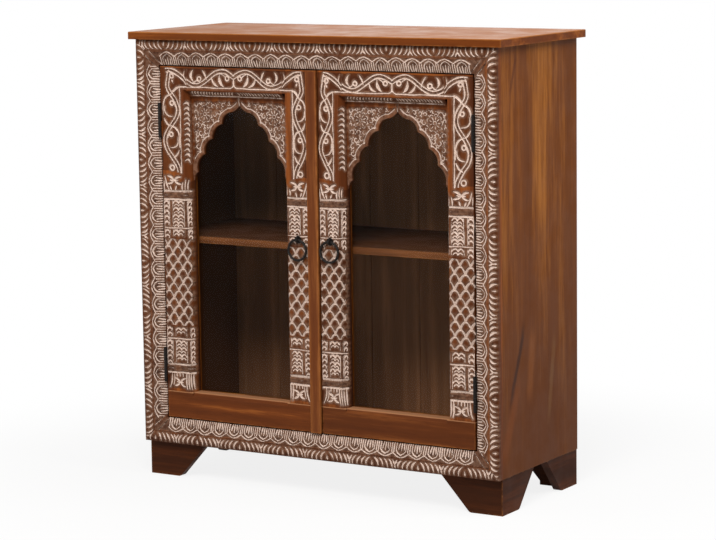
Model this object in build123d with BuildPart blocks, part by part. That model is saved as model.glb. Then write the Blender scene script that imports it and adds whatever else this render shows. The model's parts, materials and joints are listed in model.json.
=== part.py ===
from build123d import *
import os

# Two-door glazed cabinet with a mitred, moulded face frame and cusped arch doors.
# Frame: +Z up, the doors face -Y, origin on the floor under the middle of the top board.
# Every piece is drawn on the +X (right) side, and its left twin is mirrored in the YZ plane.

# ---------------------------------------------------------------- driving dimensions (mm)
# overall
cabinet_width = 900.0
cabinet_depth = 373.0
top_thickness = 16.0
body_height = 870.0
foot_height = 76.0

# top board
top_side_overhang = 14.0
top_front_overhang = 6.0
top_back_overhang = 15.0
top_edge_round = 2.0

# carcase
board = 20.0
back_thickness = 12.0
back_rebate = 10.0
plank_count = 7
plank_chamfer = 1.5
plank_gap = 0.5
cleat_width = 45.0

# shelf
shelf_thickness = 16.0
shelf_top_height = 525.0
shelf_setback = 52.0
shelf_cleat_side = 20.0
shelf_cleat_inset = 12.0

# face frame
frame_width = 54.0
frame_thickness = 20.0
frame_tongue = 12.0
outer_band = 22.0
outer_band_drop = 2.5
channel_width = 3.0
channel_depth = 3.5
inner_band_step = 2.0
inner_band_crown = 1.6
door_setback = 10.0

# doors
hinge_gap = 4.0
door_end_gap = 2.5
door_thickness = 36.0
hinge_stile_width = 65.5
meeting_stile_width = 57.0
top_rail_height = 63.5
bottom_rail_height = 57.5
cant_run = 8.0
cant_depth = 13.0
rail_cant_height = 14.0
sill_bevel = 8.0

# meeting strip, planted on the left door and ending at that door's edge
strip_width = 25.0
strip_thickness = 5.0
strip_offset = 0.5
meeting_gap = 2.5
closing_bevel = 3.2
strip_round = 1.2

# joints of the door frames
tenon_thickness = 10.0
tenon_setback = 15.0
rail_tenon_length = 30.0
rail_tenon_margin = 12.0
stile_tenon_length = 30.0
stile_tenon_margin = 14.0
mortise_spare = 1.0

# stile mouldings: heights above the door's lower edge of the quirks and of the round collars
quirk_heights = (62.5, 172.5, 199.5, 399.5, 406.5, 521.5)
quirk_reach = 2.0
quirk_depth = 2.4
collar_heights = (107.5, 482.5)
collar_height = 15.0
collar_shoulder = 4.5

# arch panel and glazing; a cusp lies a share of the half opening out from the apex, and a drop below it
spandrel_recess = 19.0
spandrel_thickness = 10.0
apex_drop = 17.0
arch_cusp_shares = (0.167, 0.383, 0.592, 0.767, 0.917)
arch_cusp_drops = (14.0, 40.0, 72.0, 105.0, 144.0)
arch_foot_drop = 162.0
lobe_rise = 8.0
tip_rise = 1.5
foot_rise = 2.0
glass_thickness = 3.0
glass_rebate = 8.0
glass_clearance = 1.0
bead_joint = 0.2

# butt hinges
hinge_inset = 115.0
hinge_length = 70.0
leaf_width = 20.0
leaf_thickness = 1.8
barrel_radius = 3.6
barrel_stand_off = 0.2
knuckle_count = 5
knuckle_gap = 0.3
pin_radius = 1.8
pin_clearance = 0.06
pin_head_radius = 3.0
pin_head_height = 2.4

# ring pulls
ring_radius = 21.5
ring_wire = 2.75
ring_height = 516.0
ring_stand_off = 4.0
right_pull_inset = 24.5
left_pull_inset = 26.0
staple_wall = 2.4
staple_width = 4.0
staple_clearance = 0.25
staple_tang = 9.0
rose_radius = 8.0
rose_thickness = 1.0

# magnetic catches
catch_length = 42.0
catch_height = 13.0
catch_depth = 15.0
strike_length = 36.0
strike_height = 12.0
strike_thickness = 1.2
catch_air = 0.4
catch_inset = 25.5

# bracket feet
foot_board = 18.0
foot_front_inset = 20.0
foot_side_inset = 2.0
face_top_length = 145.0
face_bottom_length = 76.0
side_top_length = 138.0
side_bottom_length = 72.0
foot_toe_round = 10.0
glue_block = 40.0
glue_block_lift = 4.0

# ---------------------------------------------------------------- derived places
body_width = cabinet_width - 2 * top_side_overhang
half_body = body_width / 2
body_bottom = foot_height
body_top = foot_height + body_height
front_y = -cabinet_depth / 2 + top_front_overhang
carcase_y = front_y + frame_thickness
back_y = cabinet_depth / 2 - top_back_overhang
back_face_y = back_y - back_thickness
inside_x = half_body - board

frame_inner_x = half_body - frame_width
frame_inner_bottom = body_bottom + frame_width
frame_inner_top = body_top - frame_width

door_front_y = front_y + door_setback
door_back_y = door_front_y + door_thickness
door_bottom = frame_inner_bottom + door_end_gap
door_top = frame_inner_top - door_end_gap
door_edge_x = frame_inner_x - hinge_gap
opening_bottom = door_bottom + bottom_rail_height
opening_top = door_top - top_rail_height
cant_top = opening_top + rail_cant_height

# the strip's right edge is the left door's edge, and the right door starts past the gap
strip_right_x = strip_width / 2 + strip_offset
strip_left_x = strip_offset - strip_width / 2
right_meeting_x = strip_right_x + meeting_gap

opening_outer_x = door_edge_x - hinge_stile_width
opening_inner_x = right_meeting_x + meeting_stile_width
opening_width = opening_outer_x - opening_inner_x
opening_mid_x = (opening_inner_x + opening_outer_x) / 2

spandrel_front_y = door_front_y + spandrel_recess
glass_y = spandrel_front_y + spandrel_thickness
tenon_y = door_front_y + tenon_setback

hinge_x = frame_inner_x - hinge_gap / 2
hinge_y = door_front_y - barrel_radius - barrel_stand_off
hinge_heights = {
    "lower": door_bottom + hinge_inset,
    "upper": door_top - hinge_inset,
}
leaf_back_y = door_front_y + leaf_width

ring_y = door_front_y - ring_stand_off
ring_axis_z = ring_height + ring_radius
staple_inner = ring_wire + staple_clearance
right_pull_x = right_meeting_x + right_pull_inset
left_pull_x = strip_left_x - left_pull_inset
catch_x = right_meeting_x + catch_inset

os.makedirs("parts", exist_ok=True)


def box_between(low, high, mode=Mode.ADD):
    """A box from its lowest corner to its highest one, in the part being built."""
    middle = tuple((a + b) / 2 for a, b in zip(low, high))
    size = tuple(b - a for a, b in zip(low, high))
    with Locations(middle):
        Box(*size, mode=mode)


# ---------------------------------------------------------------- top board
with BuildPart() as top_board:
    box_between(
        (-cabinet_width / 2, -cabinet_depth / 2, body_top),
        (cabinet_width / 2, cabinet_depth / 2, body_top + top_thickness),
    )
    fillet(top_board.edges().filter_by(Axis.Z), radius=top_edge_round)
    fillet(top_board.faces().sort_by(Axis.Z)[-1].edges(), radius=top_edge_round)
top_board.part.label = "top_board"
export_step(top_board.part, "parts/top_board.step")

# ---------------------------------------------------------------- sides, rebated for the back
for hand in ("right", "left"):
    with BuildPart() as side:
        box_between((inside_x, carcase_y, body_bottom), (half_body, back_y, body_top))
        box_between(
            (inside_x, back_face_y, body_bottom),
            (inside_x + back_rebate, back_y, body_top),
            mode=Mode.SUBTRACT,
        )
        if hand == "left":
            mirror(about=Plane.YZ, mode=Mode.REPLACE)
    side.part.label = f"{hand}_side"
    export_step(side.part, f"parts/{hand}_side.step")

# ---------------------------------------------------------------- bottom board and top cleats
with BuildPart() as bottom_board:
    box_between((-inside_x, carcase_y, body_bottom), (inside_x, back_face_y, body_bottom + board))
bottom_board.part.label = "bottom_board"
export_step(bottom_board.part, "parts/bottom_board.step")

cleat_starts = {"front_top_cleat": carcase_y, "back_top_cleat": back_face_y - cleat_width}
for cleat_name, cleat_y in cleat_starts.items():
    with BuildPart() as top_cleat:
        box_between((-inside_x, cleat_y, body_top - board), (inside_x, cleat_y + cleat_width, body_top))
    top_cleat.part.label = cleat_name
    export_step(top_cleat.part, f"parts/{cleat_name}.step")

# ---------------------------------------------------------------- back, vertical planks
back_width = 2 * (inside_x + back_rebate)
plank_pitch = back_width / plank_count
with BuildPart() as back_planks:
    for index in range(plank_count):
        plank_left = -back_width / 2 + index * plank_pitch + plank_gap / 2
        plank_right = plank_left + plank_pitch - plank_gap
        with BuildSketch(Plane.XY.offset(body_bottom)):
            with BuildLine():
                Polyline(
                    (plank_left, back_y),
                    (plank_left, back_face_y + plank_chamfer),
                    (plank_left + plank_chamfer, back_face_y),
                    (plank_right - plank_chamfer, back_face_y),
                    (plank_right, back_face_y + plank_chamfer),
                    (plank_right, back_y),
                    close=True,
                )
            make_face()
    extrude(amount=body_height)
back_planks.part.label = "back_planks"
export_step(back_planks.part, "parts/back_planks.step")

# ---------------------------------------------------------------- shelf on its two cleats
shelf_bottom = shelf_top_height - shelf_thickness
shelf_front_y = front_y + shelf_setback
with BuildPart() as shelf:
    box_between((-inside_x, shelf_front_y, shelf_bottom), (inside_x, back_face_y, shelf_top_height))
shelf.part.label = "shelf"
export_step(shelf.part, "parts/shelf.step")

shelf_cleat_start = shelf_front_y + shelf_cleat_inset
for hand in ("right", "left"):
    with BuildPart() as shelf_cleat:
        box_between(
            (inside_x - shelf_cleat_side, shelf_cleat_start, shelf_bottom - shelf_cleat_side),
            (inside_x, back_face_y, shelf_bottom),
        )
        if hand == "left":
            mirror(about=Plane.YZ, mode=Mode.REPLACE)
    shelf_cleat.part.label = f"{hand}_shelf_cleat"
    export_step(shelf_cleat.part, f"parts/{hand}_shelf_cleat.step")

# ---------------------------------------------------------------- face frame, four mitred members
# A member is drawn in its own plane: first the distance inwards from the frame's outer edge, then
# the depth behind its front. It runs along run_axis from one corner of the body to the next.
band_end = outer_band + channel_width
frame_back = frame_thickness + frame_tongue
inner_slope = Vector(frame_width - band_end, door_setback - inner_band_step)
inner_crest = Vector(band_end, inner_band_step) + inner_slope / 2
inner_crest += Vector(inner_slope.Y, -inner_slope.X).normalized() * inner_band_crown

frame_members = {
    "frame_right": ((half_body, body_top), (-1, 0, 0), (0, 0, -1), body_height),
    "frame_left": ((-half_body, body_bottom), (1, 0, 0), (0, 0, 1), body_height),
    "frame_bottom": ((half_body, body_bottom), (0, 0, 1), (-1, 0, 0), body_width),
    "frame_top": ((-half_body, body_top), (0, 0, -1), (1, 0, 0), body_width),
}
for member_name, (corner, inwards, run_axis, length) in frame_members.items():
    inward = Vector(inwards)
    run = Vector(run_axis)
    start = Vector(corner[0], front_y, corner[1])
    finish = start + run * length
    with BuildPart() as member:
        with BuildSketch(Plane(origin=start, x_dir=inward, z_dir=run)):
            with BuildLine():
                ThreePointArc((0, outer_band_drop), (outer_band / 2, 0), (outer_band, outer_band_drop))
                Polyline(
                    (outer_band, outer_band_drop),
                    (outer_band, channel_depth),
                    (band_end, channel_depth),
                    (band_end, inner_band_step),
                )
                ThreePointArc((band_end, inner_band_step), inner_crest, (frame_width, door_setback))
                Polyline(
                    (frame_width, door_setback),
                    (frame_width, frame_back),
                    (board, frame_back),
                    (board, frame_thickness),
                    (0, frame_thickness),
                    (0, outer_band_drop),
                )
            make_face()
        extrude(amount=length)
        split(bisect_by=Plane(origin=start, z_dir=run - inward), keep=Keep.TOP)
        split(bisect_by=Plane(origin=finish, z_dir=-run - inward), keep=Keep.TOP)
    member.part.label = member_name
    export_step(member.part, f"parts/{member_name}.step")

# ---------------------------------------------------------------- door stiles
# The wall is the side of the glass opening, and wood_side is +1 where the wood lies beyond it in +X.
# The wall's front arris is canted for the full height of the opening. Quirks, fine V grooves, divide
# the column's blocks, and a pair of wider ones leaves each collar standing between them. The closing
# edge is bevelled back, so that both doors can swing at once.
quirk_cuts = []
for height in quirk_heights:
    quirk_cuts.append((height - quirk_reach, height, height + quirk_reach))
for height in collar_heights:
    low = height - collar_height / 2
    high = height + collar_height / 2
    quirk_cuts.append((low - quirk_reach, low, low + collar_shoulder))
    quirk_cuts.append((high - collar_shoulder, high, high + quirk_reach))

cant_length = Vector(cant_run, cant_depth).length
for hand in ("right", "left"):
    meeting_x = right_meeting_x if hand == "right" else -strip_right_x
    pull_x = right_pull_x if hand == "right" else -left_pull_x
    stiles = {
        "hinge_stile": (opening_outer_x, door_edge_x, 1),
        "meeting_stile": (opening_inner_x, meeting_x, -1),
    }
    for stile_name, (wall_x, outer_x, wood_side) in stiles.items():
        left_x = min(wall_x, outer_x)
        right_x = max(wall_x, outer_x)
        with BuildPart() as stile:
            box_between((left_x, door_front_y, opening_bottom), (right_x, door_back_y, door_top))
            box_between(
                (left_x + stile_tenon_margin, tenon_y, opening_bottom - stile_tenon_length),
                (right_x - stile_tenon_margin, tenon_y + tenon_thickness, opening_bottom),
            )
            with BuildSketch(Plane.XY.offset(opening_bottom)):
                with BuildLine():
                    Polyline(
                        (wall_x, door_front_y),
                        (wall_x + wood_side * cant_run, door_front_y),
                        (wall_x, door_front_y + cant_depth),
                        close=True,
                    )
                make_face()
            extrude(amount=cant_top - opening_bottom, mode=Mode.SUBTRACT)
            for low, middle, high in quirk_cuts:
                with BuildSketch(Plane.YZ.offset(left_x)):
                    with BuildLine():
                        Polyline(
                            (door_front_y, door_bottom + low),
                            (door_front_y + quirk_depth, door_bottom + middle),
                            (door_front_y, door_bottom + high),
                            close=True,
                        )
                    make_face()
                extrude(amount=right_x - left_x, mode=Mode.SUBTRACT)
                cant_foot = Vector(wall_x, door_front_y + cant_depth, door_bottom)
                into_wood = Vector(wood_side * cant_depth, cant_run, 0)
                along_cant = Vector(wood_side * cant_run, -cant_depth, 0).normalized()
                cant_plane = Plane(
                    origin=cant_foot - along_cant * quirk_depth,
                    x_dir=into_wood,
                    z_dir=along_cant * wood_side,
                )
                with BuildSketch(cant_plane):
                    with BuildLine():
                        Polyline((0, low), (quirk_depth, middle), (0, high), close=True)
                    make_face()
                extrude(amount=wood_side * (cant_length + 2 * quirk_depth), mode=Mode.SUBTRACT)
            box_between(
                (min(wall_x, wall_x + wood_side * glass_rebate), glass_y, opening_bottom),
                (max(wall_x, wall_x + wood_side * glass_rebate), door_back_y, opening_top + glass_rebate),
                mode=Mode.SUBTRACT,
            )
            mortise_x = wall_x + wood_side * (rail_tenon_length + mortise_spare)
            box_between(
                (min(wall_x, mortise_x), tenon_y, opening_top + rail_tenon_margin),
                (max(wall_x, mortise_x), tenon_y + tenon_thickness, door_top - rail_tenon_margin),
                mode=Mode.SUBTRACT,
            )
            if stile_name == "meeting_stile":
                with BuildSketch(Plane.XY.offset(opening_bottom)):
                    with BuildLine():
                        Polyline(
                            (meeting_x, door_front_y),
                            (meeting_x, door_back_y),
                            (meeting_x + closing_bevel, door_back_y),
                            close=True,
                        )
                    make_face()
                extrude(amount=door_top - opening_bottom, mode=Mode.SUBTRACT)
                for tang_side in (-1, 1):
                    tang_z = ring_axis_z + tang_side * (staple_inner + staple_wall / 2)
                    box_between(
                        (pull_x - staple_width / 2, door_front_y, tang_z - staple_wall / 2),
                        (pull_x + staple_width / 2, door_front_y + staple_tang, tang_z + staple_wall / 2),
                        mode=Mode.SUBTRACT,
                    )
            if hand == "left":
                mirror(about=Plane.YZ, mode=Mode.REPLACE)
        stile.part.label = f"{hand}_{stile_name}"
        export_step(stile.part, f"parts/{hand}_{stile_name}.step")

    # ------------------------------------------------------------ door rails
    with BuildPart() as top_rail:
        box_between((opening_inner_x, door_front_y, opening_top), (opening_outer_x, door_back_y, door_top))
        with BuildSketch(Plane.YZ.offset(opening_inner_x)):
            with BuildLine():
                Polyline(
                    (door_front_y, opening_top),
                    (door_front_y, cant_top),
                    (door_front_y + cant_depth, opening_top),
                    close=True,
                )
            make_face()
        extrude(amount=opening_width, mode=Mode.SUBTRACT)
        box_between(
            (opening_inner_x, glass_y, opening_top),
            (opening_outer_x, door_back_y, opening_top + glass_rebate),
            mode=Mode.SUBTRACT,
        )
        box_between(
            (opening_inner_x - rail_tenon_length, tenon_y, opening_top + rail_tenon_margin),
            (opening_outer_x + rail_tenon_length, tenon_y + tenon_thickness, door_top - rail_tenon_margin),
        )
        if hand == "left":
            mirror(about=Plane.YZ, mode=Mode.REPLACE)
    top_rail.part.label = f"{hand}_top_rail"
    export_step(top_rail.part, f"parts/{hand}_top_rail.step")

    with BuildPart() as bottom_rail:
        box_between((meeting_x, door_front_y, door_bottom), (door_edge_x, door_back_y, opening_bottom))
        with BuildSketch(Plane.YZ.offset(opening_inner_x)):
            with BuildLine():
                Polyline(
                    (door_front_y, opening_bottom),
                    (door_front_y, opening_bottom - sill_bevel),
                    (door_front_y + sill_bevel, opening_bottom),
                    close=True,
                )
            make_face()
        extrude(amount=opening_width, mode=Mode.SUBTRACT)
        box_between(
            (opening_inner_x - glass_rebate, glass_y, opening_bottom - glass_rebate),
            (opening_outer_x + glass_rebate, door_back_y, opening_bottom),
            mode=Mode.SUBTRACT,
        )
        for left_x, right_x in ((meeting_x, opening_inner_x), (opening_outer_x, door_edge_x)):
            box_between(
                (left_x + stile_tenon_margin, tenon_y, opening_bottom - stile_tenon_length - mortise_spare),
                (right_x - stile_tenon_margin, tenon_y + tenon_thickness, opening_bottom),
                mode=Mode.SUBTRACT,
            )
        with BuildSketch(Plane.XY.offset(door_bottom)):
            with BuildLine():
                Polyline(
                    (meeting_x, door_front_y),
                    (meeting_x, door_back_y),
                    (meeting_x + closing_bevel, door_back_y),
                    close=True,
                )
            make_face()
        extrude(amount=bottom_rail_height, mode=Mode.SUBTRACT)
        if hand == "left":
            mirror(about=Plane.YZ, mode=Mode.REPLACE)
    bottom_rail.part.label = f"{hand}_bottom_rail"
    export_step(bottom_rail.part, f"parts/{hand}_bottom_rail.step")

    # ------------------------------------------------------------ cusped arch, two panel halves
    for half_name, away in (("outer_spandrel", 1), ("inner_spandrel", -1)):
        apex = Vector(opening_mid_x, opening_top - apex_drop)
        foot = apex + Vector(away * opening_width / 2, -arch_foot_drop)
        cusps = []
        for share, drop in zip(arch_cusp_shares, arch_cusp_drops):
            cusps.append(apex + Vector(away * share * opening_width / 2, -drop))
        stations = [apex] + cusps + [foot]
        rises = [-tip_rise] + [lobe_rise] * (len(cusps) - 1) + [foot_rise]
        with BuildPart() as spandrel:
            with BuildSketch(Plane.XZ.offset(-glass_y)):
                with BuildLine():
                    for begin, end, rise in zip(stations[:-1], stations[1:], rises):
                        chord = end - begin
                        outwards = Vector(-chord.Y, chord.X).normalized() * away
                        ThreePointArc(begin, (begin + end) / 2 + outwards * rise, end)
                    Polyline(foot, (foot.X, opening_top), (apex.X, opening_top), apex)
                make_face()
            extrude(amount=spandrel_thickness)
            if hand == "left":
                mirror(about=Plane.YZ, mode=Mode.REPLACE)
        spandrel.part.label = f"{hand}_{half_name}"
        export_step(spandrel.part, f"parts/{hand}_{half_name}.step")

    # ------------------------------------------------------------ glass and its four beads
    glass_lap = glass_rebate - glass_clearance
    with BuildPart() as glass:
        box_between(
            (opening_inner_x - glass_lap, glass_y, opening_bottom - glass_lap),
            (opening_outer_x + glass_lap, glass_y + glass_thickness, opening_top + glass_lap),
        )
        if hand == "left":
            mirror(about=Plane.YZ, mode=Mode.REPLACE)
    glass.part.label = f"{hand}_glass"
    export_step(glass.part, f"parts/{hand}_glass.step")

    bead_y = glass_y + glass_thickness
    with BuildPart() as glazing_beads:
        for bead_x in (opening_inner_x - glass_rebate, opening_outer_x):
            box_between(
                (bead_x, bead_y, opening_bottom - glass_rebate),
                (bead_x + glass_rebate, door_back_y, opening_top + glass_rebate),
            )
        for bead_z in (opening_bottom - glass_rebate, opening_top):
            box_between(
                (opening_inner_x + bead_joint, bead_y, bead_z),
                (opening_outer_x - bead_joint, door_back_y, bead_z + glass_rebate),
            )
        if hand == "left":
            mirror(about=Plane.YZ, mode=Mode.REPLACE)
    glazing_beads.part.label = f"{hand}_glazing_beads"
    export_step(glazing_beads.part, f"parts/{hand}_glazing_beads.step")

    # ------------------------------------------------------------ ring pull: staple with its rose, and ring
    with BuildPart() as staple:
        with BuildSketch(Plane.YZ.offset(pull_x - staple_width / 2)):
            with Locations((ring_y, ring_axis_z)):
                Circle(staple_inner + staple_wall)
            tang_end_y = door_front_y + staple_tang
            with Locations(((ring_y + tang_end_y) / 2, ring_axis_z)):
                Rectangle(tang_end_y - ring_y, 2 * (staple_inner + staple_wall))
                Rectangle(tang_end_y - ring_y, 2 * staple_inner, mode=Mode.SUBTRACT)
            with Locations((ring_y, ring_axis_z)):
                Circle(staple_inner, mode=Mode.SUBTRACT)
        extrude(amount=staple_width)
        with BuildSketch(Plane.XZ.offset(-door_front_y)):
            with Locations((pull_x, ring_axis_z)):
                Circle(rose_radius)
        extrude(amount=rose_thickness)
        if hand == "left":
            mirror(about=Plane.YZ, mode=Mode.REPLACE)
    staple.part.label = f"{hand}_pull_staple"
    export_step(staple.part, f"parts/{hand}_pull_staple.step")

    with BuildPart() as ring:
        with Locations(Location((pull_x, ring_y, ring_height), (90, 0, 0))):
            Torus(ring_radius, ring_wire)
        if hand == "left":
            mirror(about=Plane.YZ, mode=Mode.REPLACE)
    ring.part.label = f"{hand}_pull_ring"
    export_step(ring.part, f"parts/{hand}_pull_ring.step")

    # ------------------------------------------------------------ butt hinges
    knuckle_pitch = hinge_length / knuckle_count
    leaves = {
        "frame_leaf": (frame_inner_x - leaf_thickness, frame_inner_x, 0),
        "door_leaf": (door_edge_x, door_edge_x + leaf_thickness, 1),
    }
    for level, hinge_z in hinge_heights.items():
        hinge_bottom = hinge_z - hinge_length / 2
        hinge_top = hinge_z + hinge_length / 2
        for leaf_name, (leaf_left, leaf_right, first_knuckle) in leaves.items():
            with BuildPart() as leaf:
                box_between((leaf_left, door_front_y, hinge_bottom), (leaf_right, leaf_back_y, hinge_top))
                for index in range(first_knuckle, knuckle_count, 2):
                    low = hinge_bottom + index * knuckle_pitch + knuckle_gap / 2
                    high = low + knuckle_pitch - knuckle_gap
                    box_between((leaf_left, hinge_y, low), (leaf_right, door_front_y, high))
                    with Locations((hinge_x, hinge_y, (low + high) / 2)):
                        Cylinder(barrel_radius, high - low)
                with Locations((hinge_x, hinge_y, hinge_z)):
                    Cylinder(pin_radius + pin_clearance, hinge_length, mode=Mode.SUBTRACT)
                if hand == "left":
                    mirror(about=Plane.YZ, mode=Mode.REPLACE)
            leaf.part.label = f"{hand}_{level}_{leaf_name}"
            export_step(leaf.part, f"parts/{hand}_{level}_{leaf_name}.step")
        with BuildPart() as pin:
            barrel_length = hinge_length - knuckle_gap
            with Locations((hinge_x, hinge_y, hinge_z)):
                Cylinder(pin_radius, barrel_length)
            for end in (-1, 1):
                with Locations((hinge_x, hinge_y, hinge_z + end * (barrel_length + pin_head_height) / 2)):
                    Cylinder(pin_head_radius, pin_head_height)
            if hand == "left":
                mirror(about=Plane.YZ, mode=Mode.REPLACE)
        pin.part.label = f"{hand}_{level}_hinge_pin"
        export_step(pin.part, f"parts/{hand}_{level}_hinge_pin.step")

    # ------------------------------------------------------------ strike plate of the door catch
    strike_z = shelf_bottom - catch_height / 2
    with BuildPart() as strike:
        box_between(
            (catch_x - strike_length / 2, door_back_y, strike_z - strike_height / 2),
            (catch_x + strike_length / 2, door_back_y + strike_thickness, strike_z + strike_height / 2),
        )
        if hand == "left":
            mirror(about=Plane.YZ, mode=Mode.REPLACE)
    strike.part.label = f"{hand}_strike_plate"
    export_step(strike.part, f"parts/{hand}_strike_plate.step")

# ---------------------------------------------------------------- plain strip up the meeting edge
with BuildPart() as meeting_strip:
    box_between(
        (-strip_right_x, door_front_y - strip_thickness, door_bottom),
        (-strip_left_x, door_front_y, door_top),
    )
    front_arrises = meeting_strip.faces().sort_by(Axis.Y)[0].edges().filter_by(Axis.Z)
    fillet(front_arrises, radius=strip_round)
    mirror(about=Plane.YZ, mode=Mode.REPLACE)
meeting_strip.part.label = "meeting_strip"
export_step(meeting_strip.part, "parts/meeting_strip.step")

# ---------------------------------------------------------------- magnetic catches under the shelf
with BuildPart() as door_catches:
    catch_y = door_back_y + strike_thickness + catch_air
    for side_sign in (-1, 1):
        middle_x = side_sign * catch_x
        box_between(
            (middle_x - catch_length / 2, catch_y, shelf_bottom - catch_height),
            (middle_x + catch_length / 2, catch_y + catch_depth, shelf_bottom),
        )
door_catches.part.label = "door_catches"
export_step(door_catches.part, "parts/door_catches.step")

# ---------------------------------------------------------------- bracket feet, mitred at each corner
foot_x = half_body - foot_side_inset
foot_y = front_y + foot_front_inset
mid_depth_plane = Plane.XZ.offset(-(foot_y + back_y) / 2)
mitre_line = Vector(foot_x, foot_y, 0)
for end in ("front", "back"):
    for hand in ("right", "left"):
        with BuildPart() as foot_face:
            with BuildSketch(Plane.XZ.offset(-foot_y)) as face_outline:
                with BuildLine():
                    Polyline(
                        (foot_x, 0),
                        (foot_x, foot_height),
                        (foot_x - face_top_length, foot_height),
                        (foot_x - face_bottom_length, 0),
                        close=True,
                    )
                make_face()
                toe = face_outline.vertices().group_by(Axis.Y)[0].sort_by(Axis.X)[0]
                fillet(toe, radius=foot_toe_round)
            extrude(amount=-foot_board)
            split(bisect_by=Plane(origin=mitre_line, z_dir=(-1, -1, 0)), keep=Keep.TOP)
            if end == "back":
                mirror(about=mid_depth_plane, mode=Mode.REPLACE)
            if hand == "left":
                mirror(about=Plane.YZ, mode=Mode.REPLACE)
        foot_face.part.label = f"{hand}_{end}_foot_face"
        export_step(foot_face.part, f"parts/{hand}_{end}_foot_face.step")

        with BuildPart() as foot_side:
            with BuildSketch(Plane.YZ.offset(foot_x)) as side_outline:
                with BuildLine():
                    Polyline(
                        (foot_y, 0),
                        (foot_y, foot_height),
                        (foot_y + side_top_length, foot_height),
                        (foot_y + side_bottom_length, 0),
                        close=True,
                    )
                make_face()
                toe = side_outline.vertices().group_by(Axis.Y)[0].sort_by(Axis.X)[-1]
                fillet(toe, radius=foot_toe_round)
            extrude(amount=-foot_board)
            split(bisect_by=Plane(origin=mitre_line, z_dir=(1, 1, 0)), keep=Keep.TOP)
            if end == "back":
                mirror(about=mid_depth_plane, mode=Mode.REPLACE)
            if hand == "left":
                mirror(about=Plane.YZ, mode=Mode.REPLACE)
        foot_side.part.label = f"{hand}_{end}_foot_side"
        export_step(foot_side.part, f"parts/{hand}_{end}_foot_side.step")

block_x = foot_x - foot_board
with BuildPart() as foot_glue_blocks:
    for block_y in (foot_y + foot_board, back_y - foot_board - glue_block):
        for left_x in (block_x - glue_block, -block_x):
            box_between(
                (left_x, block_y, glue_block_lift),
                (left_x + glue_block, block_y + glue_block, foot_height),
            )
foot_glue_blocks.part.label = "foot_glue_blocks"
export_step(foot_glue_blocks.part, "parts/foot_glue_blocks.step")
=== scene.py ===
# %% [markdown]
# # A carved cabinet with lime-washed cuts
# The cabinet is a plain wooden box behind a face frame and two glazed doors that a carver has covered
# with chisel strokes. Lime paint was rubbed over the carving and wiped off again, so it stays white in
# the cuts while the wood between them is bare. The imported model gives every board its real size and
# place. This script gives each board its finish, and swaps the boards that are carved for finely
# meshed ones of the same size with the strokes cut into them.

# %% Load the frame
import json
import math

import bmesh
import bpy
import numpy as np
from mathutils import Matrix, Vector


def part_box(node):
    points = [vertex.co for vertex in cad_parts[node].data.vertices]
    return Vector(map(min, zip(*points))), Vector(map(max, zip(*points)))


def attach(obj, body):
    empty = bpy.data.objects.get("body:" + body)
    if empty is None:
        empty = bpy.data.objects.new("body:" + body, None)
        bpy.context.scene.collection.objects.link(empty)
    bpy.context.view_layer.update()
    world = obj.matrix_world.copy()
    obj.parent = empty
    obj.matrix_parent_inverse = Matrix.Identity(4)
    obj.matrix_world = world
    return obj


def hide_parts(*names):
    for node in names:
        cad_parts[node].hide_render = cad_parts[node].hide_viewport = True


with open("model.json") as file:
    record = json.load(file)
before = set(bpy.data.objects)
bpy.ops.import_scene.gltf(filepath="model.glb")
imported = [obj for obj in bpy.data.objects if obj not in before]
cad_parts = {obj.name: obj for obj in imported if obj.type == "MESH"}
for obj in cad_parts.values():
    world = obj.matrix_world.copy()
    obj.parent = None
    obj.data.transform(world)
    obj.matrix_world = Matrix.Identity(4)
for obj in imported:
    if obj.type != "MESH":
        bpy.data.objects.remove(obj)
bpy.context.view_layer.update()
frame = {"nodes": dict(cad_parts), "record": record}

nodes = frame["nodes"]
body_of = {n: body for body, members in frame["record"]["behaviour"]["bodies"].items() for n in members}
slot_of = {row["node"]: row["material_slot"] for row in frame["record"]["subparts"]}
print(len(nodes), "pieces come from the frame")


def box_mm(node):
    """The lowest and highest corner of a piece of the frame, in millimetres."""
    low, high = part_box(node)
    return np.array(low) * 1000, np.array(high) * 1000


def add_object(name, data):
    """Puts a mesh, a lamp or a camera into the scene under a name."""
    made = bpy.data.objects.new(name, data)
    bpy.context.scene.collection.objects.link(made)
    return made


# %% [markdown]
# ## The camera
# A camera's place and three angles are enough to set it. Here the view is worked out as three unit
# vectors, forwards, right and up, because those are also the columns of the camera's matrix: Blender's
# camera looks along its own -Z, with +Y up. The long lens is that of a product picture, which keeps
# the cabinet's uprights nearly parallel.

# %% Camera
CAMERA_PLACE = (2.9083, -4.7595, 1.2688)
CAMERA_YAW, CAMERA_PITCH, CAMERA_ROLL = 31.405, 8.315, -0.805
CAMERA_LENS = 133.25


def camera_matrix(place, yaw, pitch, roll):
    """Yaw turns the view from +Y towards -X, pitch lowers it and roll tilts it, all in degrees."""
    yaw, pitch, roll = (math.radians(angle) for angle in (yaw, pitch, roll))
    forwards = Vector((-math.sin(yaw) * math.cos(pitch), math.cos(yaw) * math.cos(pitch), -math.sin(pitch)))
    level = Vector((math.cos(yaw), math.sin(yaw), 0))
    above = level.cross(forwards)
    right = level * math.cos(roll) + above * math.sin(roll)
    up = above * math.cos(roll) - level * math.sin(roll)
    turned = Matrix((right, up, -forwards)).transposed().to_4x4()
    return Matrix.Translation(place) @ turned


camera = add_object("camera", bpy.data.cameras.new("camera"))
camera.data.lens = CAMERA_LENS
camera.data.sensor_width = 36
camera.matrix_world = camera_matrix(CAMERA_PLACE, CAMERA_YAW, CAMERA_PITCH, CAMERA_ROLL)
bpy.context.scene.camera = camera
bpy.context.scene.view_settings.view_transform = "Standard"
print("the camera stands", round(Vector(CAMERA_PLACE).length, 2), "m from the cabinet's foot")

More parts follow.
